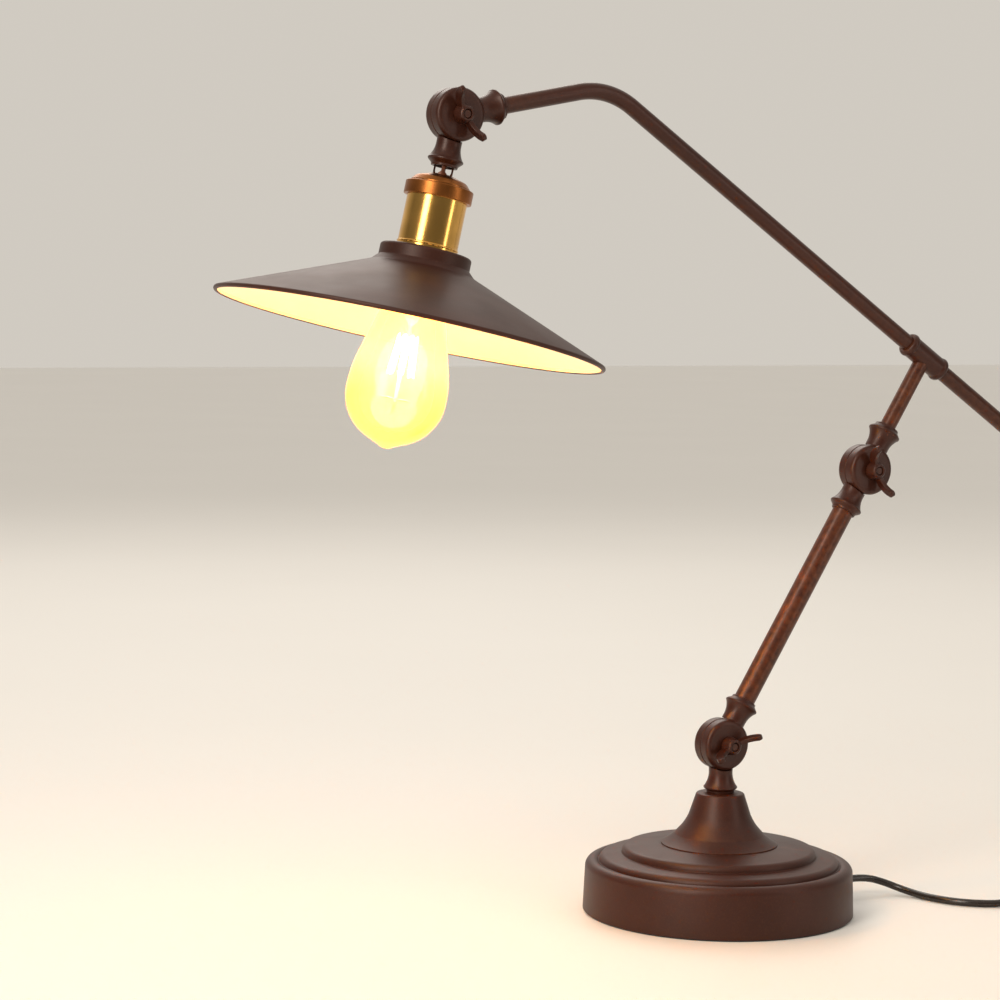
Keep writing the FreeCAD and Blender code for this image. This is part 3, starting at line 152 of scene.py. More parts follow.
class HeadSizes(bpy.types.PropertyGroup):
    rim_radius: length("Rim radius", "Radius of the shade at its rolled rim", 125.8)
    cone_height: length("Cone height", "Height of the shade's cone above its rim", 38.4)
    shell_radius: length("Socket radius", "Radius of the socket's brass barrel", 19.2)
    cap_radius: length("Cap radius", "Radius of the socket's cap", 21.75)
    bulb_radius: length("Bulb radius", "Largest radius of the bulb", 32.0)
    filament_pairs: bpy.props.IntProperty(name="Filament pairs", default=8, min=3, max=16,
                                          description="Pairs of strands in the bulb's cage")


class CordSizes(bpy.types.PropertyGroup):
    diameter: length("Diameter", "Outside diameter of the cord's jacket", 5.0)
    coil_radius: length("Coil radius", "Radius of the coil's outer turn", 41.5)
    coil_pitch: length("Coil pitch", "Distance between neighbouring turns", 5.45)


class LampColours(bpy.types.PropertyGroup):
    paint: colour("Paint", "Dark bronze paint of the base, arms and shade", (0.040, 0.0098, 0.0045))
    worn: colour("Worn paint", "Colour of the paint on its edges", (0.15, 0.045, 0.016))
    enamel: colour("Enamel", "White enamel inside the shade", (0.86, 0.80, 0.62))
    brass: colour("Brass", "Polished brass of the socket", (0.88, 0.50, 0.13))
    old_brass: colour("Dark brass", "Satin brass of the cap and the pierced neck", (0.30, 0.105, 0.026))
    glow: colour("Glow", "Light of the bulb", (1.0, 0.45, 0.08))


SETTINGS = {"lamp_base": BaseSizes, "lamp_arms": ArmSizes, "lamp_head": HeadSizes, "lamp_cord": CordSizes,
            "lamp_colours": LampColours}


# ---- Shapes ---------------------------------------------------------------------------------------------
def eased(corners, steps=7):
    """An outline's points. A corner is (radius, height), or (radius, height, round) to be rounded off."""
    points = []
    for index, corner in enumerate(corners):
        here = Vector(corner[:2])
        if len(corner) == 2:
            points.append(here)
            continue
        back = (Vector(corners[index - 1][:2]) - here).normalized()
        ahead = (Vector(corners[(index + 1) % len(corners)][:2]) - here).normalized()
        half = back.angle(ahead) / 2
        centre = here + (back + ahead).normalized() * corner[2] / math.sin(half)
        start = here + back * corner[2] / math.tan(half) - centre
        finish = here + ahead * corner[2] / math.tan(half) - centre
        sweep = start.angle_signed(finish)
        for step in range(steps + 1):
            angle = -sweep * step / steps
            points.append(centre + Matrix.Rotation(angle, 2) @ start)
    return points


def arc(centre, radius, start, finish, steps):
    """Points of an arc about a (radius, height) centre, between two angles in degrees."""
    angles = [math.radians(start + (finish - start) * step / steps) for step in range(steps + 1)]
    return [(centre[0] + radius * math.cos(angle), centre[1] + radius * math.sin(angle)) for angle in angles]


def turned(outline, place=Matrix.Identity(4), segments=160, closed=True):
    """A mesh turned about the place's Z axis from an outline of (radius, height) points, in millimetres."""
    form = bmesh.new()
    rings = []
    for radius, height in outline:
        if abs(radius) < 1e-6:
            rings.append([form.verts.new((0.0, 0.0, height * MM))])
            continue
        rings.append([form.verts.new((radius * MM * math.cos(2 * math.pi * step / segments),
                                      radius * MM * math.sin(2 * math.pi * step / segments), height * MM))
                      for step in range(segments)])
    for lower, upper in zip(rings, rings[1:] + rings[:1] if closed else rings[1:]):
        if len(lower) == len(upper) == 1:
            continue
        for step in range(segments):
            following = (step + 1) % segments
            corners = [lower[step % len(lower)], lower[following % len(lower)],
                       upper[following % len(upper)], upper[step % len(upper)]]
            form.faces.new(dict.fromkeys(corners))
    bmesh.ops.remove_doubles(form, verts=form.verts, dist=1e-7)
    bmesh.ops.recalc_face_normals(form, faces=form.faces)
    form.transform(place)
    mesh = bpy.data.meshes.new("turned")
    form.to_mesh(mesh)
    form.free()
    return mesh


def joined(*meshes):
    """One mesh of several, which may cross each other."""
    form = bmesh.new()
    for mesh in meshes:
        form.from_mesh(mesh)
    whole = bpy.data.meshes.new("joined")
    form.to_mesh(whole)
    form.free()
    return whole


def placed(mesh, place):
    mesh.transform(place)
    return mesh


def node_copy(*names):
    """A copy of CAD nodes' meshes, its triangles merged."""
    form = bmesh.new()
    for name in names:
        form.from_mesh(NODES[name].data)
    bmesh.ops.remove_doubles(form, verts=form.verts, dist=1e-6)
    mesh = bpy.data.meshes.new("copy")
    form.to_mesh(mesh)
    form.free()
    return mesh


def evaluated(carrier):
    """The plain mesh that an object's modifiers give. The object is removed."""
    bpy.context.view_layer.update()
    graph = bpy.context.evaluated_depsgraph_get()
    mesh = bpy.data.meshes.new_from_object(carrier.evaluated_get(graph), preserve_all_data_layers=True,
                                           depsgraph=graph)
    bpy.data.objects.remove(carrier)
    return mesh


def carrying(mesh):
    """A passing object that carries a mesh while its modifiers work."""
    carrier = bpy.data.objects.new("carrier", mesh)
    bpy.context.scene.collection.objects.link(carrier)
    return carrier


def cast(mesh, grain, rounds=4):
    """The mesh as a casting: one skin, with its inner corners filled and its edges softened."""
    carrier = carrying(mesh)
    skin = carrier.modifiers.new("skin", "REMESH")
    skin.mode = "VOXEL"
    skin.voxel_size = grain
    skin.use_smooth_shade = True
    soft = carrier.modifiers.new("soft", "SMOOTH")
    soft.factor = 0.5
    soft.iterations = rounds
    return evaluated(carrier)


def piece(name, mesh, body, slot, *materials, replaces=(), crease=30.0):
    """A finished piece: smooth but for its creases, riding on its body, in place of CAD nodes."""
    mesh.name = name
    made = bpy.data.objects.new(name, mesh)
    bpy.context.scene.collection.objects.link(made)
    if mesh.materials:
        mesh.materials.clear()
    for material in materials:
        mesh.materials.append(material)
    mesh.polygons.foreach_set("use_smooth", [True] * len(mesh.polygons))
    mesh.set_sharp_from_angle(angle=math.radians(crease))
    mesh.update()
    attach(made, body)
    if replaces:
        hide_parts(*replaces)
    return made


def finished(node, material):
    """A CAD node that stays, in its better material."""
    for material_slot in NODES[node].material_slots:
        material_slot.material = material


# ---- Node trees -----------------------------------------------------------------------------------------
class Graph:
    """A node tree that is filled one node at a time."""

    def __init__(self, tree):
        self.tree = tree

    def feed(self, socket, source):
        """Gives an input socket a link or a plain value."""
        if isinstance(source, bpy.types.NodeSocket):
            self.tree.links.new(source, socket)
        else:
            socket.default_value = source

    def node(self, kind, sockets=None, **settings):
        """The outputs of a new node, with its input sockets fed."""
        made = self.tree.nodes.new(kind)
        for name, setting in settings.items():
            setattr(made, name, setting)
        for key, source in (sockets or {}).items():
            self.feed(made.inputs[key], source)
        return made.outputs

    def math(self, operation, first, second=0.0):
        return self.node("ShaderNodeMath", {0: first, 1: second}, operation=operation)[0]

    def between(self, value, low, high, start=0.3, finish=0.7, **settings):
        """A number from start to finish as a number from low to high."""
        return self.node("ShaderNodeMapRange", {
            "Value": value, "From Min": start, "From Max": finish, "To Min": low, "To Max": high},
            **settings)[0]


# ---- Geometry Nodes: what repeats, and what follows a path ----------------------------------------------
class Recipe(Graph):
    """A Geometry Nodes tree with named inputs. It ends in Realize Instances and Set Material."""

    def __init__(self, name, **inputs):
        super().__init__(bpy.data.node_groups.new(name, "GeometryNodeTree"))
        interface = self.tree.interface
        interface.new_socket("Geometry", in_out="OUTPUT", socket_type="NodeSocketGeometry")
        interface.new_socket("Geometry", in_out="INPUT", socket_type="NodeSocketGeometry")
        self.identifiers = {}
        for label, (kind, default) in inputs.items():
            socket = interface.new_socket(label, in_out="INPUT", socket_type="NodeSocket" + kind)
            socket.default_value = default
            self.identifiers[label] = socket.identifier
        material = interface.new_socket("Material", in_out="INPUT", socket_type="NodeSocketMaterial")
        self.identifiers["Material"] = material.identifier
        self.given = self.tree.nodes.new("NodeGroupInput").outputs

    def end(self, geometry):
        real = self.node("GeometryNodeRealizeInstances", {"Geometry": geometry})[0]
        dressed = self.node("GeometryNodeSetMaterial", {"Geometry": real, "Material": self.given["Material"]})
        finish = self.tree.nodes.new("NodeGroupOutput")
        self.tree.links.new(dressed[0], finish.inputs[0])
        return self

    def make(self, mesh, material, **values):
        """The mesh that the tree makes of another."""
        carrier = carrying(mesh)
        modifier = carrier.modifiers.new(self.tree.name, "NODES")
        modifier.node_group = self.tree
        modifier[self.identifiers["Material"]] = material
        for label, number in values.items():
            modifier[self.identifiers[label]] = number
        return evaluated(carrier)


def row_recipe():
    """Repeats its mesh along the Z axis, each copy a little smaller across than the one before."""
    recipe = Recipe("repeated_in_a_row", Count=("Int", 5), Pitch=("Float", 0.003), Taper=("Float", 0.0))
    given = recipe.given
    step = recipe.node("ShaderNodeCombineXYZ", {"Z": given["Pitch"]})[0]
    line = recipe.node("GeometryNodeMeshLine", {"Count": given["Count"], "Offset": step})[0]
    index = recipe.node("GeometryNodeInputIndex")[0]
    width = recipe.math("SUBTRACT", 1.0, recipe.math("MULTIPLY", index, given["Taper"]))
    scale = recipe.node("ShaderNodeCombineXYZ", {"X": width, "Y": width, "Z": 1.0})[0]
    copies = recipe.node("GeometryNodeInstanceOnPoints", {
        "Points": line, "Instance": given["Geometry"], "Scale": scale})[0]
    return recipe.end(copies)


def bar_recipe():
    """A round bar along a line of straight runs, with its corners bent to a radius."""
    recipe = Recipe("bent_bar", Radius=("Float", 0.0055), Bend=("Float", 0.055))
    given = recipe.given
    path = recipe.node("GeometryNodeMeshToCurve", {"Mesh": given["Geometry"]})[0]
    bent = recipe.node("GeometryNodeFilletCurve", {
        "Curve": path, "Count": 40, "Radius": given["Bend"], "Limit Radius": True}, mode="POLY")[0]
    section = recipe.node("GeometryNodeCurvePrimitiveCircle", {
        "Resolution": 64, "Radius": given["Radius"]})[0]
    solid = recipe.node("GeometryNodeCurveToMesh", {
        "Curve": bent, "Profile Curve": section, "Fill Caps": True})[0]
    return recipe.end(solid)


def cage_recipe():
    """A wire that zigzags round a cone between an upper and a lower circle of hooks."""
    recipe = Recipe("wire_cage", Pairs=("Int", 8), Top_Radius=("Float", 0.0056), Foot_Radius=("Float", 0.01),
                    Top=("Float", 0.004), Foot=("Float", -0.045), Wire=("Float", 0.00035))
    given = recipe.given
    hooks = recipe.math("MULTIPLY", given["Pairs"], 2.0)
    path = recipe.node("GeometryNodeCurvePrimitiveCircle", {"Resolution": hooks, "Radius": 1.0})[0]
    index = recipe.node("GeometryNodeInputIndex")[0]
    lower = recipe.math("MODULO", index, 2.0)
    turn = recipe.math("MULTIPLY", recipe.math("DIVIDE", index, hooks), 2 * math.pi)

    def between(high, low):
        fall = recipe.math("MULTIPLY", lower, recipe.math("SUBTRACT", low, high))
        return recipe.math("ADD", high, fall)

    radius = between(given["Top_Radius"], given["Foot_Radius"])
    across = recipe.math("MULTIPLY", radius, recipe.math("COSINE", turn))
    aside = recipe.math("MULTIPLY", radius, recipe.math("SINE", turn))
    place = recipe.node("ShaderNodeCombineXYZ", {
        "X": across, "Y": aside, "Z": between(given["Top"], given["Foot"])})[0]
    zigzag = recipe.node("GeometryNodeSetPosition", {"Geometry": path, "Position": place})[0]
    hooked = recipe.node("GeometryNodeFilletCurve", {
        "Curve": zigzag, "Count": 5, "Radius": 0.0007, "Limit Radius": True}, mode="POLY")[0]
    section = recipe.node("GeometryNodeCurvePrimitiveCircle", {"Resolution": 8, "Radius": given["Wire"]})[0]
    return recipe.end(recipe.node("GeometryNodeCurveToMesh", {"Curve": hooked, "Profile Curve": section})[0])


# ---- Finishes -------------------------------------------------------------------------------------------
class Finish(Graph):
    """A material, with its nodes on the Object coordinates of the piece that wears it."""

    def __init__(self, name, place=Matrix.Identity(4), stretch=(1.0, 1.0, 1.0)):
        self.material = bpy.data.materials.new(name)
        self.material.use_nodes = True
        super().__init__(self.material.node_tree)
        self.shader = self.tree.nodes["Principled BSDF"]
        here = self.node("ShaderNodeTexCoord")["Object"]
        inverse = place.inverted()
        self.centred = self.node("ShaderNodeMapping", {
            "Vector": here, "Location": inverse.to_translation(), "Rotation": inverse.to_euler()})[0]
        self.coordinates = self.node("ShaderNodeMapping", {"Vector": self.centred, "Scale": stretch})[0]

    def noise(self, size, detail=3.0, rough=0.5, vector=None):
        """Cloudy variation whose patches are about that size, in millimetres."""
        return self.node("ShaderNodeTexNoise", {
            "Vector": vector or self.coordinates, "Scale": 1.0 / (size * MM), "Detail": detail,
            "Roughness": rough})[0]

    def mixed(self, factor, first, second):
        """The first colour where factor is 0 and the second where it is 1."""
        first, second = (colour if isinstance(colour, bpy.types.NodeSocket) else (*colour, 1.0)
                         for colour in (first, second))
        return self.node("ShaderNodeMix", {"Factor": factor, 6: first, 7: second}, data_type="RGBA")[2]

    def bump(self, height, depth, strength=1.0, under=None):
        """A surface that stands up by depth, in millimetres, where height is 1."""
        sockets = {"Height": height, "Distance": depth * MM, "Strength": strength}
        if under is not None:
            sockets["Normal"] = under
        return self.node("ShaderNodeBump", sockets)[0]

    def edges(self, start=0.53, finish=0.6):
        """1 on outer edges that hands and cloths rub, 0 elsewhere."""
        worn = self.node("ShaderNodeNewGeometry")["Pointiness"]
        return self.between(worn, 0.0, 1.0, start, finish)

    def set(self, **sockets):
        for name, source in sockets.items():
            self.feed(self.shader.inputs[name.replace("_", " ")], source)
        return self.material


def tint(colour, factor):
    return tuple(min(1.0, channel * factor) for channel in colour)


FINISHES = {}


def kept(maker):
    """Each finish is made once."""
    def get():
        if maker.__name__ not in FINISHES:
            FINISHES[maker.__name__] = maker(bpy.context.scene.lamp_colours)
        return FINISHES[maker.__name__]
    return get


def bronze(name, colours, grain, depth, shine, wear):
    """Dark bronze paint: clouded colour, a sandy grain, and lighter metal where the edges are rubbed."""
    finish = Finish(name)
    clouds = finish.between(finish.noise(38.0, 4.0), 0.0, 1.0)
    paint = finish.mixed(clouds, tint(colours.paint, 0.85), tint(colours.paint, 1.15))
    speckle = finish.between(finish.noise(grain * 1.6, 2.0), 0.0, 0.22, 0.5, 0.72)
    paint = finish.mixed(speckle, paint, tint(colours.worn, 0.6))
    rubbed = finish.math("MULTIPLY", finish.edges(), finish.between(finish.noise(4.0, 5.0), 0.0, wear))
    paint = finish.mixed(rubbed, paint, tuple(colours.worn))
    sand = finish.noise(grain, 3.0, 0.6)
    rough = finish.between(finish.noise(26.0, 2.0), shine, shine + 0.05)
    normal = finish.bump(sand, depth, 0.7)
    return finish.set(Base_Color=paint, Roughness=rough, Normal=normal, Metallic=0.15,
                      Specular_IOR_Level=0.35)


@kept
def base_paint(colours):
    return bronze("base_bronze_paint", colours, 0.7, 0.045, 0.42, 0.5)


@kept
def arm_paint(colours):
    return bronze("arm_bronze_paint", colours, 0.9, 0.03, 0.34, 0.7)


@kept
def shade_paint(colours):
    return bronze("shade_bronze_paint", colours, 0.8, 0.02, 0.44, 0.5)


@kept
def wing_paint(colours):
    return bronze("wing_nut_bronze_paint", colours, 0.9, 0.03, 0.32, 1.0)


@kept
def enamel(colours):
    finish = Finish("white_enamel")
    clouds = finish.between(finish.noise(30.0, 3.0), 0.0, 1.0)
    glaze = finish.mixed(clouds, tuple(colours.enamel), tint(colours.enamel, 0.93))
    normal = finish.bump(finish.noise(3.0, 2.0), 0.03, 0.5)
    return finish.set(Base_Color=glaze, Roughness=finish.between(finish.noise(9.0), 0.28, 0.38),
                      Normal=normal, Coat_Weight=0.3, Coat_Roughness=0.15)


def metal(name, bright, dull, shine, lines=(1.0, 1.0, 1.0), fine=0.5, place=HEAD_PLACE, depth=0.012):
    """Bare metal with tarnish in clouds and fine tool lines, stretched along the piece by lines."""
    finish = Finish(name, place, lines)
    tarnish = finish.between(finish.noise(18.0, 4.0, 0.5, finish.centred), 0.0, 1.0, 0.4, 0.8)
    colour = finish.mixed(tarnish, bright, dull)
    scratches = finish.noise(fine, 3.0, 0.7)
    rough = finish.between(finish.noise(9.0, 2.0, 0.5, finish.centred), shine, shine + 0.06)
    normal = finish.bump(scratches, depth, 0.6)
    return finish.set(Base_Color=colour, Roughness=rough, Normal=normal, Metallic=1.0)


@kept
def brass(colours):
    return metal("polished_brass", tuple(colours.brass), tint(colours.brass, 0.7), 0.15, (1.0, 1.0, 0.03),
                 depth=0.003)


@kept
def old_brass(colours):
    return metal("satin_dark_brass", tint(colours.old_brass, 1.15), tint(colours.old_brass, 0.7), 0.3,
                 (0.05, 0.05, 1.0), depth=0.008)


@kept
def zinc(colours):
    return metal("zinc_plated_steel", (0.56, 0.55, 0.52), (0.36, 0.35, 0.33), 0.28, place=Matrix.Identity(4))


@kept
def nickel(colours):
    return metal("nickel_plated_pins", (0.72, 0.68, 0.6), (0.5, 0.47, 0.4), 0.2, (0.1, 1.0, 1.0),
                 place=Matrix.Identity(4))


@kept
def iron(colours):
    finish = Finish("raw_cast_iron")
    clouds = finish.between(finish.noise(12.0, 5.0), 0.0, 1.0)
    colour = finish.mixed(clouds, (0.075, 0.07, 0.068), (0.14, 0.1, 0.075))
    normal = finish.bump(finish.noise(1.6, 5.0, 0.7), 0.25, 0.9)
    return finish.set(Base_Color=colour, Roughness=finish.between(clouds, 0.6, 0.82, 0.0, 1.0), Normal=normal,
                      Metallic=0.5)


@kept
def fibre(colours):
    finish = Finish("pressed_fibre_washer")
    colour = finish.mixed(finish.noise(1.2, 4.0), (0.03, 0.027, 0.025), (0.07, 0.06, 0.052))
    return finish.set(Base_Color=colour, Roughness=finish.between(finish.noise(2.0), 0.7, 0.85),
                      Normal=finish.bump(finish.noise(0.6, 4.0), 0.08))


@kept
def felt(colours):
    finish = Finish("pressed_black_felt")
    strands = finish.noise(0.35, 6.0, 0.8)
    tufts = finish.noise(1.8, 4.0, 0.6)
    colour = finish.mixed(finish.between(strands, 0.0, 1.0), (0.012, 0.011, 0.011), (0.05, 0.045, 0.043))
    normal = finish.bump(tufts, 0.18, 0.8, finish.bump(strands, 0.12))
    return finish.set(Base_Color=colour, Roughness=finish.between(tufts, 0.88, 0.98), Normal=normal,
                      Sheen_Weight=0.35, Sheen_Roughness=0.5)


@kept
def ceramic(colours):
    finish = Finish("glazed_ceramic", HEAD_PLACE)
    colour = finish.mixed(finish.between(finish.noise(8.0, 4.0), 0.0, 1.0), (0.83, 0.8, 0.73),
                          (0.74, 0.69, 0.6))
    return finish.set(Base_Color=colour, Roughness=finish.between(finish.noise(3.0), 0.18, 0.3),
                      Normal=finish.bump(finish.noise(2.0), 0.03), Coat_Weight=0.5, Coat_Roughness=0.1)


@kept
def bulb_glass(colours):
    """Amber glass, lit from inside: hottest round the upper half of the filament, clearer where it is looked
    through squarely."""
    finish = Finish("lit_amber_glass", HEAD_PLACE)
    height = finish.node("ShaderNodeSeparateXYZ", {"Vector": finish.centred})["Z"]
    lit = finish.between(height, 0.0, 1.0, -0.056, -0.020, interpolation_type="SMOOTHSTEP")
    drops = finish.between(finish.noise(14.0, 2.0), 0.85, 1.1)
    glow = finish.mixed(lit, tuple(colours.glow), (1.0, 0.62, 0.2))
    strength = finish.math("MULTIPLY", finish.between(lit, 0.28, 1.5, 0.0, 1.0), drops)
    wall = finish.node("ShaderNodeLayerWeight", {"Blend": 0.35})["Facing"]
    depth = finish.between(wall, 0.3, 0.85, 0.1, 0.8)
    return finish.set(Base_Color=(1.0, 0.55, 0.14, 1.0), IOR=1.5, Alpha=depth,
                      Roughness=finish.between(drops, 0.03, 0.06, 0.85, 1.1),
                      Normal=finish.bump(finish.noise(20.0, 1.0), 0.15, 0.4),
                      Emission_Color=glow, Emission_Strength=strength, Coat_Weight=0.6, Coat_Roughness=0.03)


@kept
def stem_glass(colours):
    # The stem's emission is a painted glow: it stands in for the filament's light falling on the clear glass.
    finish = Finish("clear_stem_glass", HEAD_PLACE)
    clouds = finish.noise(5.0, 2.0)
    return finish.set(Base_Color=finish.mixed(clouds, (1.0, 0.9, 0.72), (1.0, 0.82, 0.55)),
                      Roughness=finish.between(clouds, 0.05, 0.12), Normal=finish.bump(clouds, 0.05),
                      Alpha=0.5, Emission_Color=(1.0, 0.72, 0.36, 1.0), Emission_Strength=1.2)


@kept
def hot_wire(colours):
    finish = Finish("glowing_filament", HEAD_PLACE)
    heat = finish.between(finish.noise(6.0, 2.0), 26.0, 40.0)
    return finish.set(Base_Color=finish.mixed(finish.noise(3.0), (1.0, 0.5, 0.12), (1.0, 0.62, 0.2)),
                      Emission_Color=(1.0, 0.6, 0.22, 1.0), Emission_Strength=heat, Roughness=0.4,
                      Normal=finish.bump(finish.noise(0.3), 0.02))


@kept
def spoke_wire(colours):
    return metal("molybdenum_wire", (0.6, 0.5, 0.4), (0.4, 0.3, 0.22), 0.3)


def black_plastic(name, dark, light, shine, grain, depth):
    """Moulded black plastic with a fine spark-eroded grain."""
    finish = Finish(name)
    clouds = finish.between(finish.noise(9.0, 3.0), 0.0, 1.0)
    colour = finish.mixed(clouds, dark, light)
    normal = finish.bump(finish.noise(6.0, 2.0), 0.04, 0.5, finish.bump(finish.noise(grain, 3.0), depth, 0.7))
    return finish.set(Base_Color=colour, Roughness=finish.between(finish.noise(3.0, 3.0), shine, shine + 0.1),
                      Normal=normal)


@kept
def jacket(colours):
    return black_plastic("cord_jacket", (0.013, 0.008, 0.006), (0.022, 0.014, 0.010), 0.2, 1.2, 0.01)


@kept
def switch_plastic(colours):
    return black_plastic("switch_moulding", (0.014, 0.013, 0.013), (0.024, 0.022, 0.021), 0.36, 0.35, 0.02)


@kept
def rocker_plastic(colours):
    return black_plastic("rocker_moulding", (0.022, 0.021, 0.021), (0.034, 0.032, 0.031), 0.26, 0.35, 0.012)


# ---- Pieces ---------------------------------------------------------------------------------------------
class DESKLAMP_OT_base(bpy.types.Operator):
    """Stepped base, its felt and the flared riser"""
    bl_idname = "desk_lamp.base"
    bl_label = "Base and riser"

    def execute(self, context):
        sizes = context.scene.lamp_base
        foot = sizes.foot_radius / MM
        wall_top = foot - 1.1
        wall = sizes.wall_height / MM
        one = sizes.step_one_radius / MM
        two = sizes.step_two_radius / MM
        top = sizes.plate_height / MM
        felt_top = sizes.felt_thickness / MM
        bead = arc((wall_top - BASE_BEAD, wall), BASE_BEAD, 0.0, 132.0, 14)
        lip_one = arc((one - BASE_LIP, 34.2), BASE_LIP, 0.0, 88.0, 10)
        lip_two = arc((two - BASE_LIP, 40.5), BASE_LIP, 0.0, 88.0, 10)
        outside = [(foot - BASE_SHEET, felt_top), (foot, felt_top, 0.35)] + bead + [
            (one, 33.3, 0.5)] + lip_one + [(two, 39.6, 0.5)] + lip_two + [(41.0, top, 6.0)]
        inside = [(TUBE_HOLE, top), (TUBE_HOLE, top - BASE_SHEET), (41.0, top - BASE_SHEET),
                  (two - BASE_LIP, 43.1), (two - BASE_SHEET, 40.5), (two - BASE_SHEET, 38.0),
                  (one - BASE_LIP, 36.8), (one - BASE_SHEET, 34.2), (one - BASE_SHEET, 31.7),
                  (wall_top - BASE_SHEET, wall)]
        shell = turned(eased(outside + inside), segments=224)
        piece("base_shell_spun", shell, "base", "base_paint", base_paint(), replaces=["base_shell"])

        riser_foot = sizes.riser_foot_radius / MM
        riser_top = sizes.riser_top_radius / MM
        height = sizes.riser_height / MM
        flare_centre, flare_radius = (riser_foot + 17.7, 82.6), 39.4
        flare = arc(flare_centre, flare_radius, 243.3, 203.4, 22)
        neck = eased([(21.0, 67.0), (riser_top, height - 0.4, 1.6), (riser_top - 2.0, height),
                      (TUBE_HOLE, height)])[1:]
        bore = [(TUBE_HOLE, height - RISER_SHEET), (riser_top - RISER_SHEET, height - RISER_SHEET),
                (21.0 - RISER_SHEET, 67.0), (riser_foot - RISER_SHEET, top)]
        riser = turned([(riser_foot, top)] + flare + neck + bore)
        piece("cone_riser_spun", riser, "base", "base_paint", base_paint(), replaces=["cone_riser"])

        pad = turned(eased([(0.0, 0.0), (foot - 1.0, 0.0, 0.3), (foot - 1.0, felt_top, 0.3),
                            (0.0, felt_top)], 3), closed=False)
        piece("felt_pad_pressed", pad, "base", "felt", felt(), replaces=["felt_pad"])
        return {"FINISHED"}


class DESKLAMP_OT_knuckles(bpy.types.Operator):
    """Halves of the three knuckles, as painted castings"""
    bl_idname = "desk_lamp.knuckles"
    bl_label = "Knuckles"

    def execute(self, context):
        grain = context.scene.lamp_arms.casting_grain
        halves = {"base_knuckle": "base", "arm_foot_knuckle": "lower_arm", "arm_head_knuckle": "lower_arm",
                  "elbow_knuckle": "upper_arm", "bar_knuckle": "upper_arm", "head_knuckle": "head"}
        for node, body in halves.items():
            piece(node + "_cast", cast(node_copy(node), grain, 3), body, "arm_paint", arm_paint(),
                  replaces=[node], crease=60.0)
        for name in ("base", "elbow", "head"):
            finished(name + "_pivot_bolt", wing_paint())
            finished(name + "_friction_washer", fibre())
        return {"FINISHED"}


class DESKLAMP_OT_wing_nuts(bpy.types.Operator):
    """The three wing nuts, each a hub with two ears"""
    bl_idname = "desk_lamp.wing_nuts"
    bl_label = "Wing nuts"

    def execute(self, context):
        for name in ("base", "elbow", "head"):
            node = name + "_wing_nut"
            piece(node + "_cast", cast(node_copy(node), WING_GRAIN, 3), name + "_wing", "wing_paint",
                  wing_paint(), replaces=[node], crease=60.0)
        return {"FINISHED"}


class DESKLAMP_OT_arms(bpy.types.Operator):
    """Tubes, the banded sleeve, the long bar with its bend and its end cap"""
    bl_idname = "desk_lamp.arms"
    bl_label = "Arms"

    def execute(self, context):
        sizes = context.scene.lamp_arms
        along = BAR_PLACE.to_3x3() @ Vector((0, 0, 1))
        corner = SLEEVE + along * sizes.bar_reach
        front = HEAD_KNUCKLE + (corner - HEAD_KNUCKLE).normalized() * KNUCKLE_REACH
        line = bpy.data.meshes.new("bar_line")
        line.from_pydata([SLEEVE - along * sizes.bar_tail, corner, front], [(0, 1), (1, 2)], [])
        bar = bar_recipe().make(line, arm_paint(), Radius=sizes.bar_radius, Bend=sizes.bend_radius)
        piece("long_bar_bent", bar, "upper_arm", "arm_paint", arm_paint(), replaces=["long_bar"])
        for node in ("lower_tube", "short_tube", "tee_sleeve", "bar_end_cap"):
            finished(node, arm_paint())
        finished("tee_grub_screw", zinc())
        return {"FINISHED"}


class DESKLAMP_OT_shade(bpy.types.Operator):
    """Wide cone with a rolled rim, painted outside and enamelled inside"""
    bl_idname = "desk_lamp.shade"
    bl_label = "Shade"

    def execute(self, context):
        sizes = context.scene.lamp_head
        rim = sizes.rim_radius / MM - SHADE_ROLL
        cone = sizes.cone_height / MM
        roll = arc((rim, -0.4), SHADE_ROLL, 64.0, -196.0, 20)
        outside = eased([(15.2, 50.5), (29.3, 50.5, 2.0), (29.3, 42.5, 1.0), (33.5, cone, 6.0),
                         (rim, 0.2)], 9)
        inside = eased([(rim - SHADE_SHEET, -0.8), (32.9, cone - 1.0, 6.0), (28.5, 42.4, 1.0),
                        (28.5, 49.7, 1.2), (15.2, 49.7)], 9)
        outline = [tuple(point) for point in outside[:-1]] + roll + [tuple(point) for point in inside[1:]]
        mesh = turned(outline, HEAD_PLACE, 288)
        undo = HEAD_PLACE.inverted()
        for face in mesh.polygons:
            centre = undo @ face.center
            normal = undo.to_3x3() @ face.normal
            across = Vector((centre.x, centre.y, 0.0))
            faces_axis = normal.dot(across) < 0.0 or normal.z < -0.5
            face.material_index = int(faces_axis and across.length < (rim - 1.3) * MM)
        piece("shade_spun", mesh, "head", "shade_paint", shade_paint(), enamel(), replaces=["shade"],
              crease=40.0)
        finished("shade_ring", zinc())
        return {"FINISHED"}


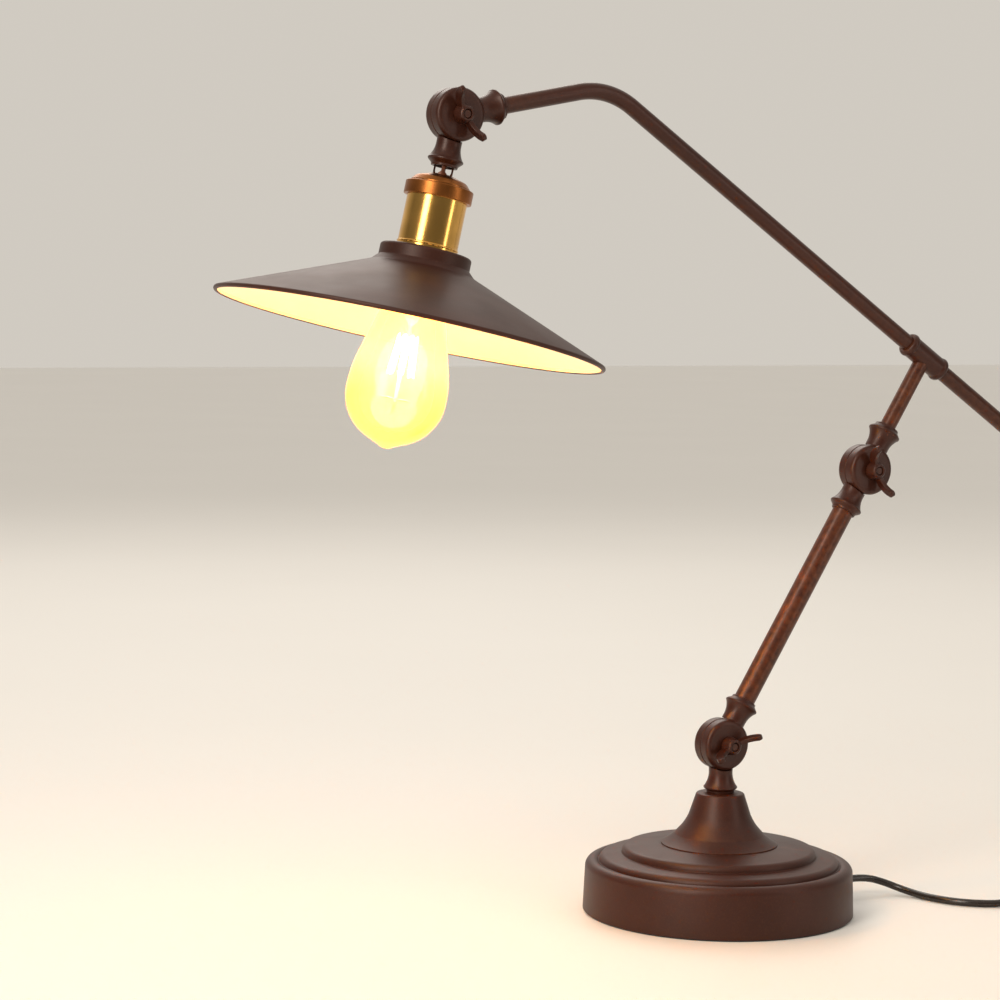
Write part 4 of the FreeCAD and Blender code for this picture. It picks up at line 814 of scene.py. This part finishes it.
class DESKLAMP_OT_socket(bpy.types.Operator):
    """Brass barrel, domed cap and pierced neck of the socket"""
    bl_idname = "desk_lamp.socket"
    bl_label = "Socket"

    def execute(self, context):
        sizes = context.scene.lamp_head
        shell = sizes.shell_radius / MM
        cap = sizes.cap_radius / MM
        bead = arc((shell - 0.15, 53.4), 0.75, -78.0, 78.0, 8)
        barrel = [(shell - SOCKET_SHEET, 50.5), (shell - 0.15, 50.5), (shell, 50.65),
                  (shell, 52.6)] + bead[1:-1] + [
            (shell, 54.2), (shell, 89.5), (shell - SOCKET_SHEET, 89.5)]
        piece("socket_shell_drawn", turned(barrel, HEAD_PLACE, 128), "head", "brass", brass(),
              replaces=["socket_shell"])
        dome = eased([(shell + 0.05, 83.6), (cap, 83.6, 0.4), (cap, 92.0, 0.9), (19.2, 92.0),
                      (19.2, 92.9, 0.8), (16.4, 96.2, 3.5), (9.0, 98.6, 3.0), (6.4, 98.6), (6.4, 97.5),
                      (9.0, 97.5), (15.3, 94.7), (18.1, 92.0), (shell + 0.05, 89.5)])
        piece("socket_cap_spun", turned(dome, HEAD_PLACE, 128), "head", "dark_brass", old_brass(),
              replaces=["socket_cap"])
        finished("vented_neck", wing_paint())
        finished("socket_insert", ceramic())
        for node in ("vent_nut", "thread_shell", "centre_contact"):
            finished(node, brass())
        finished("head_lead", jacket())
        return {"FINISHED"}


class DESKLAMP_OT_bulb(bpy.types.Operator):
    """Pear-shaped bulb with its filament cage"""
    bl_idname = "desk_lamp.bulb"
    bl_label = "Bulb"

    def execute(self, context):
        sizes = context.scene.lamp_head
        radius = sizes.bulb_radius / MM
        centre = -42.5
        low = math.degrees(math.asin(10.0 / radius))
        tip = [(0.0, -76.9), (2.1, -76.6), (3.7, -75.8), (5.6, -74.8), (8.0, -73.9)]
        bowl = arc((0.0, centre), radius, low - 90.0, 0.0, 28)
        side = [(radius - 4.4 * (step / 16) ** 2, centre + 27.0 * step / 16) for step in range(1, 17)]
        taper = [(27.6 - 14.3 * step / 12 + 0.9 * math.sin(math.pi * step / 12), -15.5 + 48.5 * step / 12)
                 for step in range(1, 13)]
        neck = [(12.6, 34.6), (12.2, 36.2), (12.2, 44.0)]
        outer = tip + bowl + side + taper + neck
        inner = [(max(across - GLASS, 0.0), level) for across, level in reversed(outer[len(tip):])]
        glass = turned(outer + inner + [(0.0, centre - radius + GLASS)], HEAD_PLACE, 96, closed=False)
        piece("bulb_glass_blown", glass, "head", "bulb_glass", bulb_glass(), replaces=["bulb_glass"],
              crease=60.0)
        cage = cage_recipe().make(bpy.data.meshes.new("no_mesh"), hot_wire(), Pairs=sizes.filament_pairs)
        piece("filament_cage", placed(cage, HEAD_PLACE), "head", "filament", hot_wire(),
              replaces=["filament"], crease=60.0)
        finished("bulb_cap", brass())
        finished("bulb_stem", stem_glass())
        finished("filament_spokes", spoke_wire())
        return {"FINISHED"}


class DESKLAMP_OT_cord(bpy.types.Operator):
    """Cord from the base to its plug, with the unused length coiled"""
    bl_idname = "desk_lamp.cord"
    bl_label = "Cord"

    def execute(self, context):
        sizes = context.scene.lamp_cord
        outer = sizes.coil_radius / MM
        pitch = sizes.coil_pitch / MM
        points = [
            (112.0, 0.0, 12.0), (124.5, 0.0, 12.0), (137.0, -4.6, 8.4), (146.2, -15.2, 4.1),
            (150.4, -29.5, 2.6), (153.6, -44.0, 2.6), (160.5, -58.0, 2.6), (171.5, -69.0, 2.6),
            (186.0, -76.0, 2.6), (201.5, -80.0, 6.5), (214.0, -80.0, 6.5), (240.0, -80.0, 6.5),
            (266.0, -80.0, 6.5), (277.5, -80.0, 6.5), (289.5, -80.0, 2.6), (300.5, -80.0, 2.6),
        ]
        start = Vector((305.5, -80.0, 2.6))
        inward_turns, per_turn, layer_rise = 4.25, 16, 5.5
        for step in range(int(2 * inward_turns * per_turn) + 1):
            turns = step / per_turn
            depth = min(turns, inward_turns) - max(turns - inward_turns, 0.0)
            reach = outer - pitch * depth
            climb = layer_rise * (1 - math.cos(2 * math.pi * min(max(turns - 4.0, 0.0), 0.5))) / 2
            angle = 2 * math.pi * turns
            points.append((start.x + reach * math.sin(angle), start.y - outer + reach * math.cos(angle),
                           start.z + climb))
        points.append((297.5, -163.0, 8.1))
        curve = bpy.data.curves.new("cord", "CURVE")
        curve.dimensions = "3D"
        spline = curve.splines.new("NURBS")
        spline.points.add(len(points) - 1)
        for control, point in zip(spline.points, points):
            control.co = (*(Vector(point) * MM), 1.0)
        spline.order_u = 3
        spline.use_endpoint_u = True
        spline.resolution_u = 8
        curve.bevel_depth = sizes.diameter / 2
        curve.bevel_resolution = 5
        curve.use_fill_caps = True
        curve.materials.append(jacket())
        cord = bpy.data.objects.new("cord", curve)
        context.scene.collection.objects.link(cord)
        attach(cord, "base")
        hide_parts("cord_lead", "cord_link", "cord_coil")
        return {"FINISHED"}


class DESKLAMP_OT_cord_fittings(bpy.types.Operator):
    """Strain relief, in-line switch and plug"""
    bl_idname = "desk_lamp.cord_fittings"
    bl_label = "Cord fittings"

    def execute(self, context):
        base = context.scene.lamp_base.foot_radius / MM
        along = Matrix.Translation((0, 0, CORD_HEIGHT)) @ Matrix.Rotation(math.pi / 2, 4, "Y")
        core = turned(eased([(CORD_HOLE, base - 3.9), (6.2, base - 3.9, 0.4), (6.2, base - 2.3, 0.4),
                             (4.6, base - 2.3), (4.6, base + 0.4, 0.3), (3.9, base + 1.2),
                             (2.9, base + 20.0, 0.5), (CORD_HOLE, base + 20.0)]), along, 64)
        rib = turned(eased([(3.3, base + 2.2), (4.45, base + 2.2, 0.4), (4.45, base + 3.8, 0.4),
                            (3.3, base + 3.8)], 3), segments=64)
        ribs = row_recipe().make(rib, switch_plastic(), Count=6, Pitch=3.0 * MM, Taper=0.045)
        piece("cord_gland_ribbed", joined(core, placed(ribs, along)), "base", "switch",
              switch_plastic(), replaces=["cord_gland"])
        finished("base_lead", jacket())
        for node in ("switch_base", "switch_cover"):
            finished(node, switch_plastic())
        finished("switch_rocker", rocker_plastic())
        piece("plug_moulded", cast(node_copy("plug_body"), PLUG_GRAIN), "base", "switch",
              switch_plastic(), replaces=["plug_body"], crease=60.0)
        finished("plug_pins", nickel())
        return {"FINISHED"}


class DESKLAMP_OT_inside(bpy.types.Operator):
    """Finishes of the parts inside and under the base"""
    bl_idname = "desk_lamp.inside"
    bl_label = "Inside parts"

    def execute(self, context):
        finished("base_weight", iron())
        for node in ("bottom_cover", "cover_screws", "threaded_tube", "tube_washer", "tube_nut"):
            finished(node, zinc())
        return {"FINISHED"}


class DESKLAMP_OT_stage(bpy.types.Operator):
    """Pale floor, soft light and the camera"""
    bl_idname = "desk_lamp.stage"
    bl_label = "Stage"

    def execute(self, context):
        scene = context.scene
        form = bmesh.new()
        bmesh.ops.create_grid(form, x_segments=24, y_segments=24, size=9.0)
        mesh = bpy.data.meshes.new("floor")
        form.to_mesh(mesh)
        form.free()
        floor = bpy.data.objects.new("floor", mesh)
        scene.collection.objects.link(floor)
        pale = Finish("pale_floor")
        pale.set(Base_Color=pale.mixed(pale.noise(400.0), (0.80, 0.78, 0.75), (0.83, 0.81, 0.78)),
                 Roughness=0.55)
        mesh.materials.append(pale.material)

        scene.world = self.studio()
        self.area("key", (-1.9, -0.9, 1.3), (0.0, 0.0, 0.3), (0.7, 2.2), 42.0, (1.0, 0.90, 0.78))
        self.area("side", (1.3, -1.9, 1.0), (0.0, 0.0, 0.3), (0.35, 2.0), 9.0, (1.0, 0.93, 0.84))
        self.area("back", (0.6, 2.0, 1.9), (0.0, 0.0, 0.3), (1.4, 1.4), 16.0, (1.0, 0.94, 0.87))

        lamp = bpy.data.lights.new("bulb_light", "POINT")
        lamp.energy = 2.8
        lamp.color = tuple(scene.lamp_colours.glow)
        lamp.shadow_soft_size = 0.02
        light = bpy.data.objects.new("bulb_light", lamp)
        light.location = HEAD_PLACE @ Vector((0, 0, -0.03))
        scene.collection.objects.link(light)
        light.parent = frame["bodies"]["head"]

        camera = bpy.data.cameras.new("camera")
        camera.sensor_width = 36.0
        camera.lens = CAMERA_LENS
        camera.clip_end = 60.0
        eye = bpy.data.objects.new("camera", camera)
        forward = CAMERA_HEADING.normalized() * math.cos(CAMERA_PITCH)
        forward -= Vector((0, 0, math.sin(CAMERA_PITCH)))
        right = forward.cross(Vector((0, 0, 1))).normalized()
        axes = Matrix((right, right.cross(forward), -forward)).transposed().to_4x4()
        roll = Matrix.Rotation(CAMERA_ROLL, 4, "Z")
        eye.matrix_world = Matrix.Translation(CAMERA_PLACE) @ axes @ roll
        scene.collection.objects.link(eye)
        scene.camera = eye
        scene.view_settings.view_transform = "Standard"
        return {"FINISHED"}

    def studio(self):
        """A pale backdrop ahead of the camera, and a dimmer room behind it."""
        world = bpy.data.worlds.new("studio")
        world.use_nodes = True
        graph = Graph(world.node_tree)
        place = graph.node("ShaderNodeTexCoord")["Generated"]
        ahead = graph.node("ShaderNodeVectorMath", {0: place, 1: CAMERA_HEADING},
                           operation="DOT_PRODUCT")["Value"]
        height = graph.node("ShaderNodeSeparateXYZ", {0: place})["Z"]
        share = graph.between(ahead, 0.16, 0.66, 0.1, 0.8)
        overhead = graph.between(height, 0.0, 0.75, 0.25, 1.0)
        background = graph.tree.nodes["Background"]
        background.inputs["Color"].default_value = (0.96, 0.90, 0.81, 1.0)
        graph.feed(background.inputs["Strength"], graph.math("ADD", share, overhead))
        return world

    def area(self, name, place, aim, size, watts, hue):
        """A rectangular light, turned towards its aim."""
        lamp = bpy.data.lights.new(name, "AREA")
        lamp.shape = "RECTANGLE"
        lamp.size, lamp.size_y = size
        lamp.energy = watts
        lamp.color = hue
        light = bpy.data.objects.new(name, lamp)
        light.location = place
        light.rotation_euler = (Vector(aim) - Vector(place)).to_track_quat("-Z", "Y").to_euler()
        bpy.context.scene.collection.objects.link(light)


PIECES = (DESKLAMP_OT_cord_fittings, DESKLAMP_OT_cord, DESKLAMP_OT_base, DESKLAMP_OT_inside,
          DESKLAMP_OT_knuckles, DESKLAMP_OT_wing_nuts, DESKLAMP_OT_arms, DESKLAMP_OT_shade,
          DESKLAMP_OT_socket, DESKLAMP_OT_bulb, DESKLAMP_OT_stage)


class DESKLAMP_PT_panel(bpy.types.Panel):
    """The lamp's sizes and colours, and the operators that build it"""
    bl_idname = "DESKLAMP_PT_panel"
    bl_label = "Desk lamp"
    bl_space_type = "VIEW_3D"
    bl_region_type = "UI"
    bl_category = "Desk lamp"

    def draw(self, context):
        for name, group in SETTINGS.items():
            box = self.layout.box()
            for field in group.__annotations__:
                box.prop(getattr(context.scene, name), field)
        for operator in PIECES:
            self.layout.operator(operator.bl_idname)


def register():
    for group in SETTINGS.values():
        bpy.utils.register_class(group)
    for name, group in SETTINGS.items():
        setattr(bpy.types.Scene, name, bpy.props.PointerProperty(type=group))
    for made in PIECES:
        bpy.utils.register_class(made)
    bpy.utils.register_class(DESKLAMP_PT_panel)


def unregister():
    bpy.utils.unregister_class(DESKLAMP_PT_panel)
    for made in reversed(PIECES):
        bpy.utils.unregister_class(made)
    for name in SETTINGS:
        delattr(bpy.types.Scene, name)
    for group in reversed(SETTINGS.values()):
        bpy.utils.unregister_class(group)


def main():
    register()
    for made in PIECES:
        getattr(bpy.ops.desk_lamp, made.bl_idname.split(".")[1])()


if __name__ == "__main__":
    main()
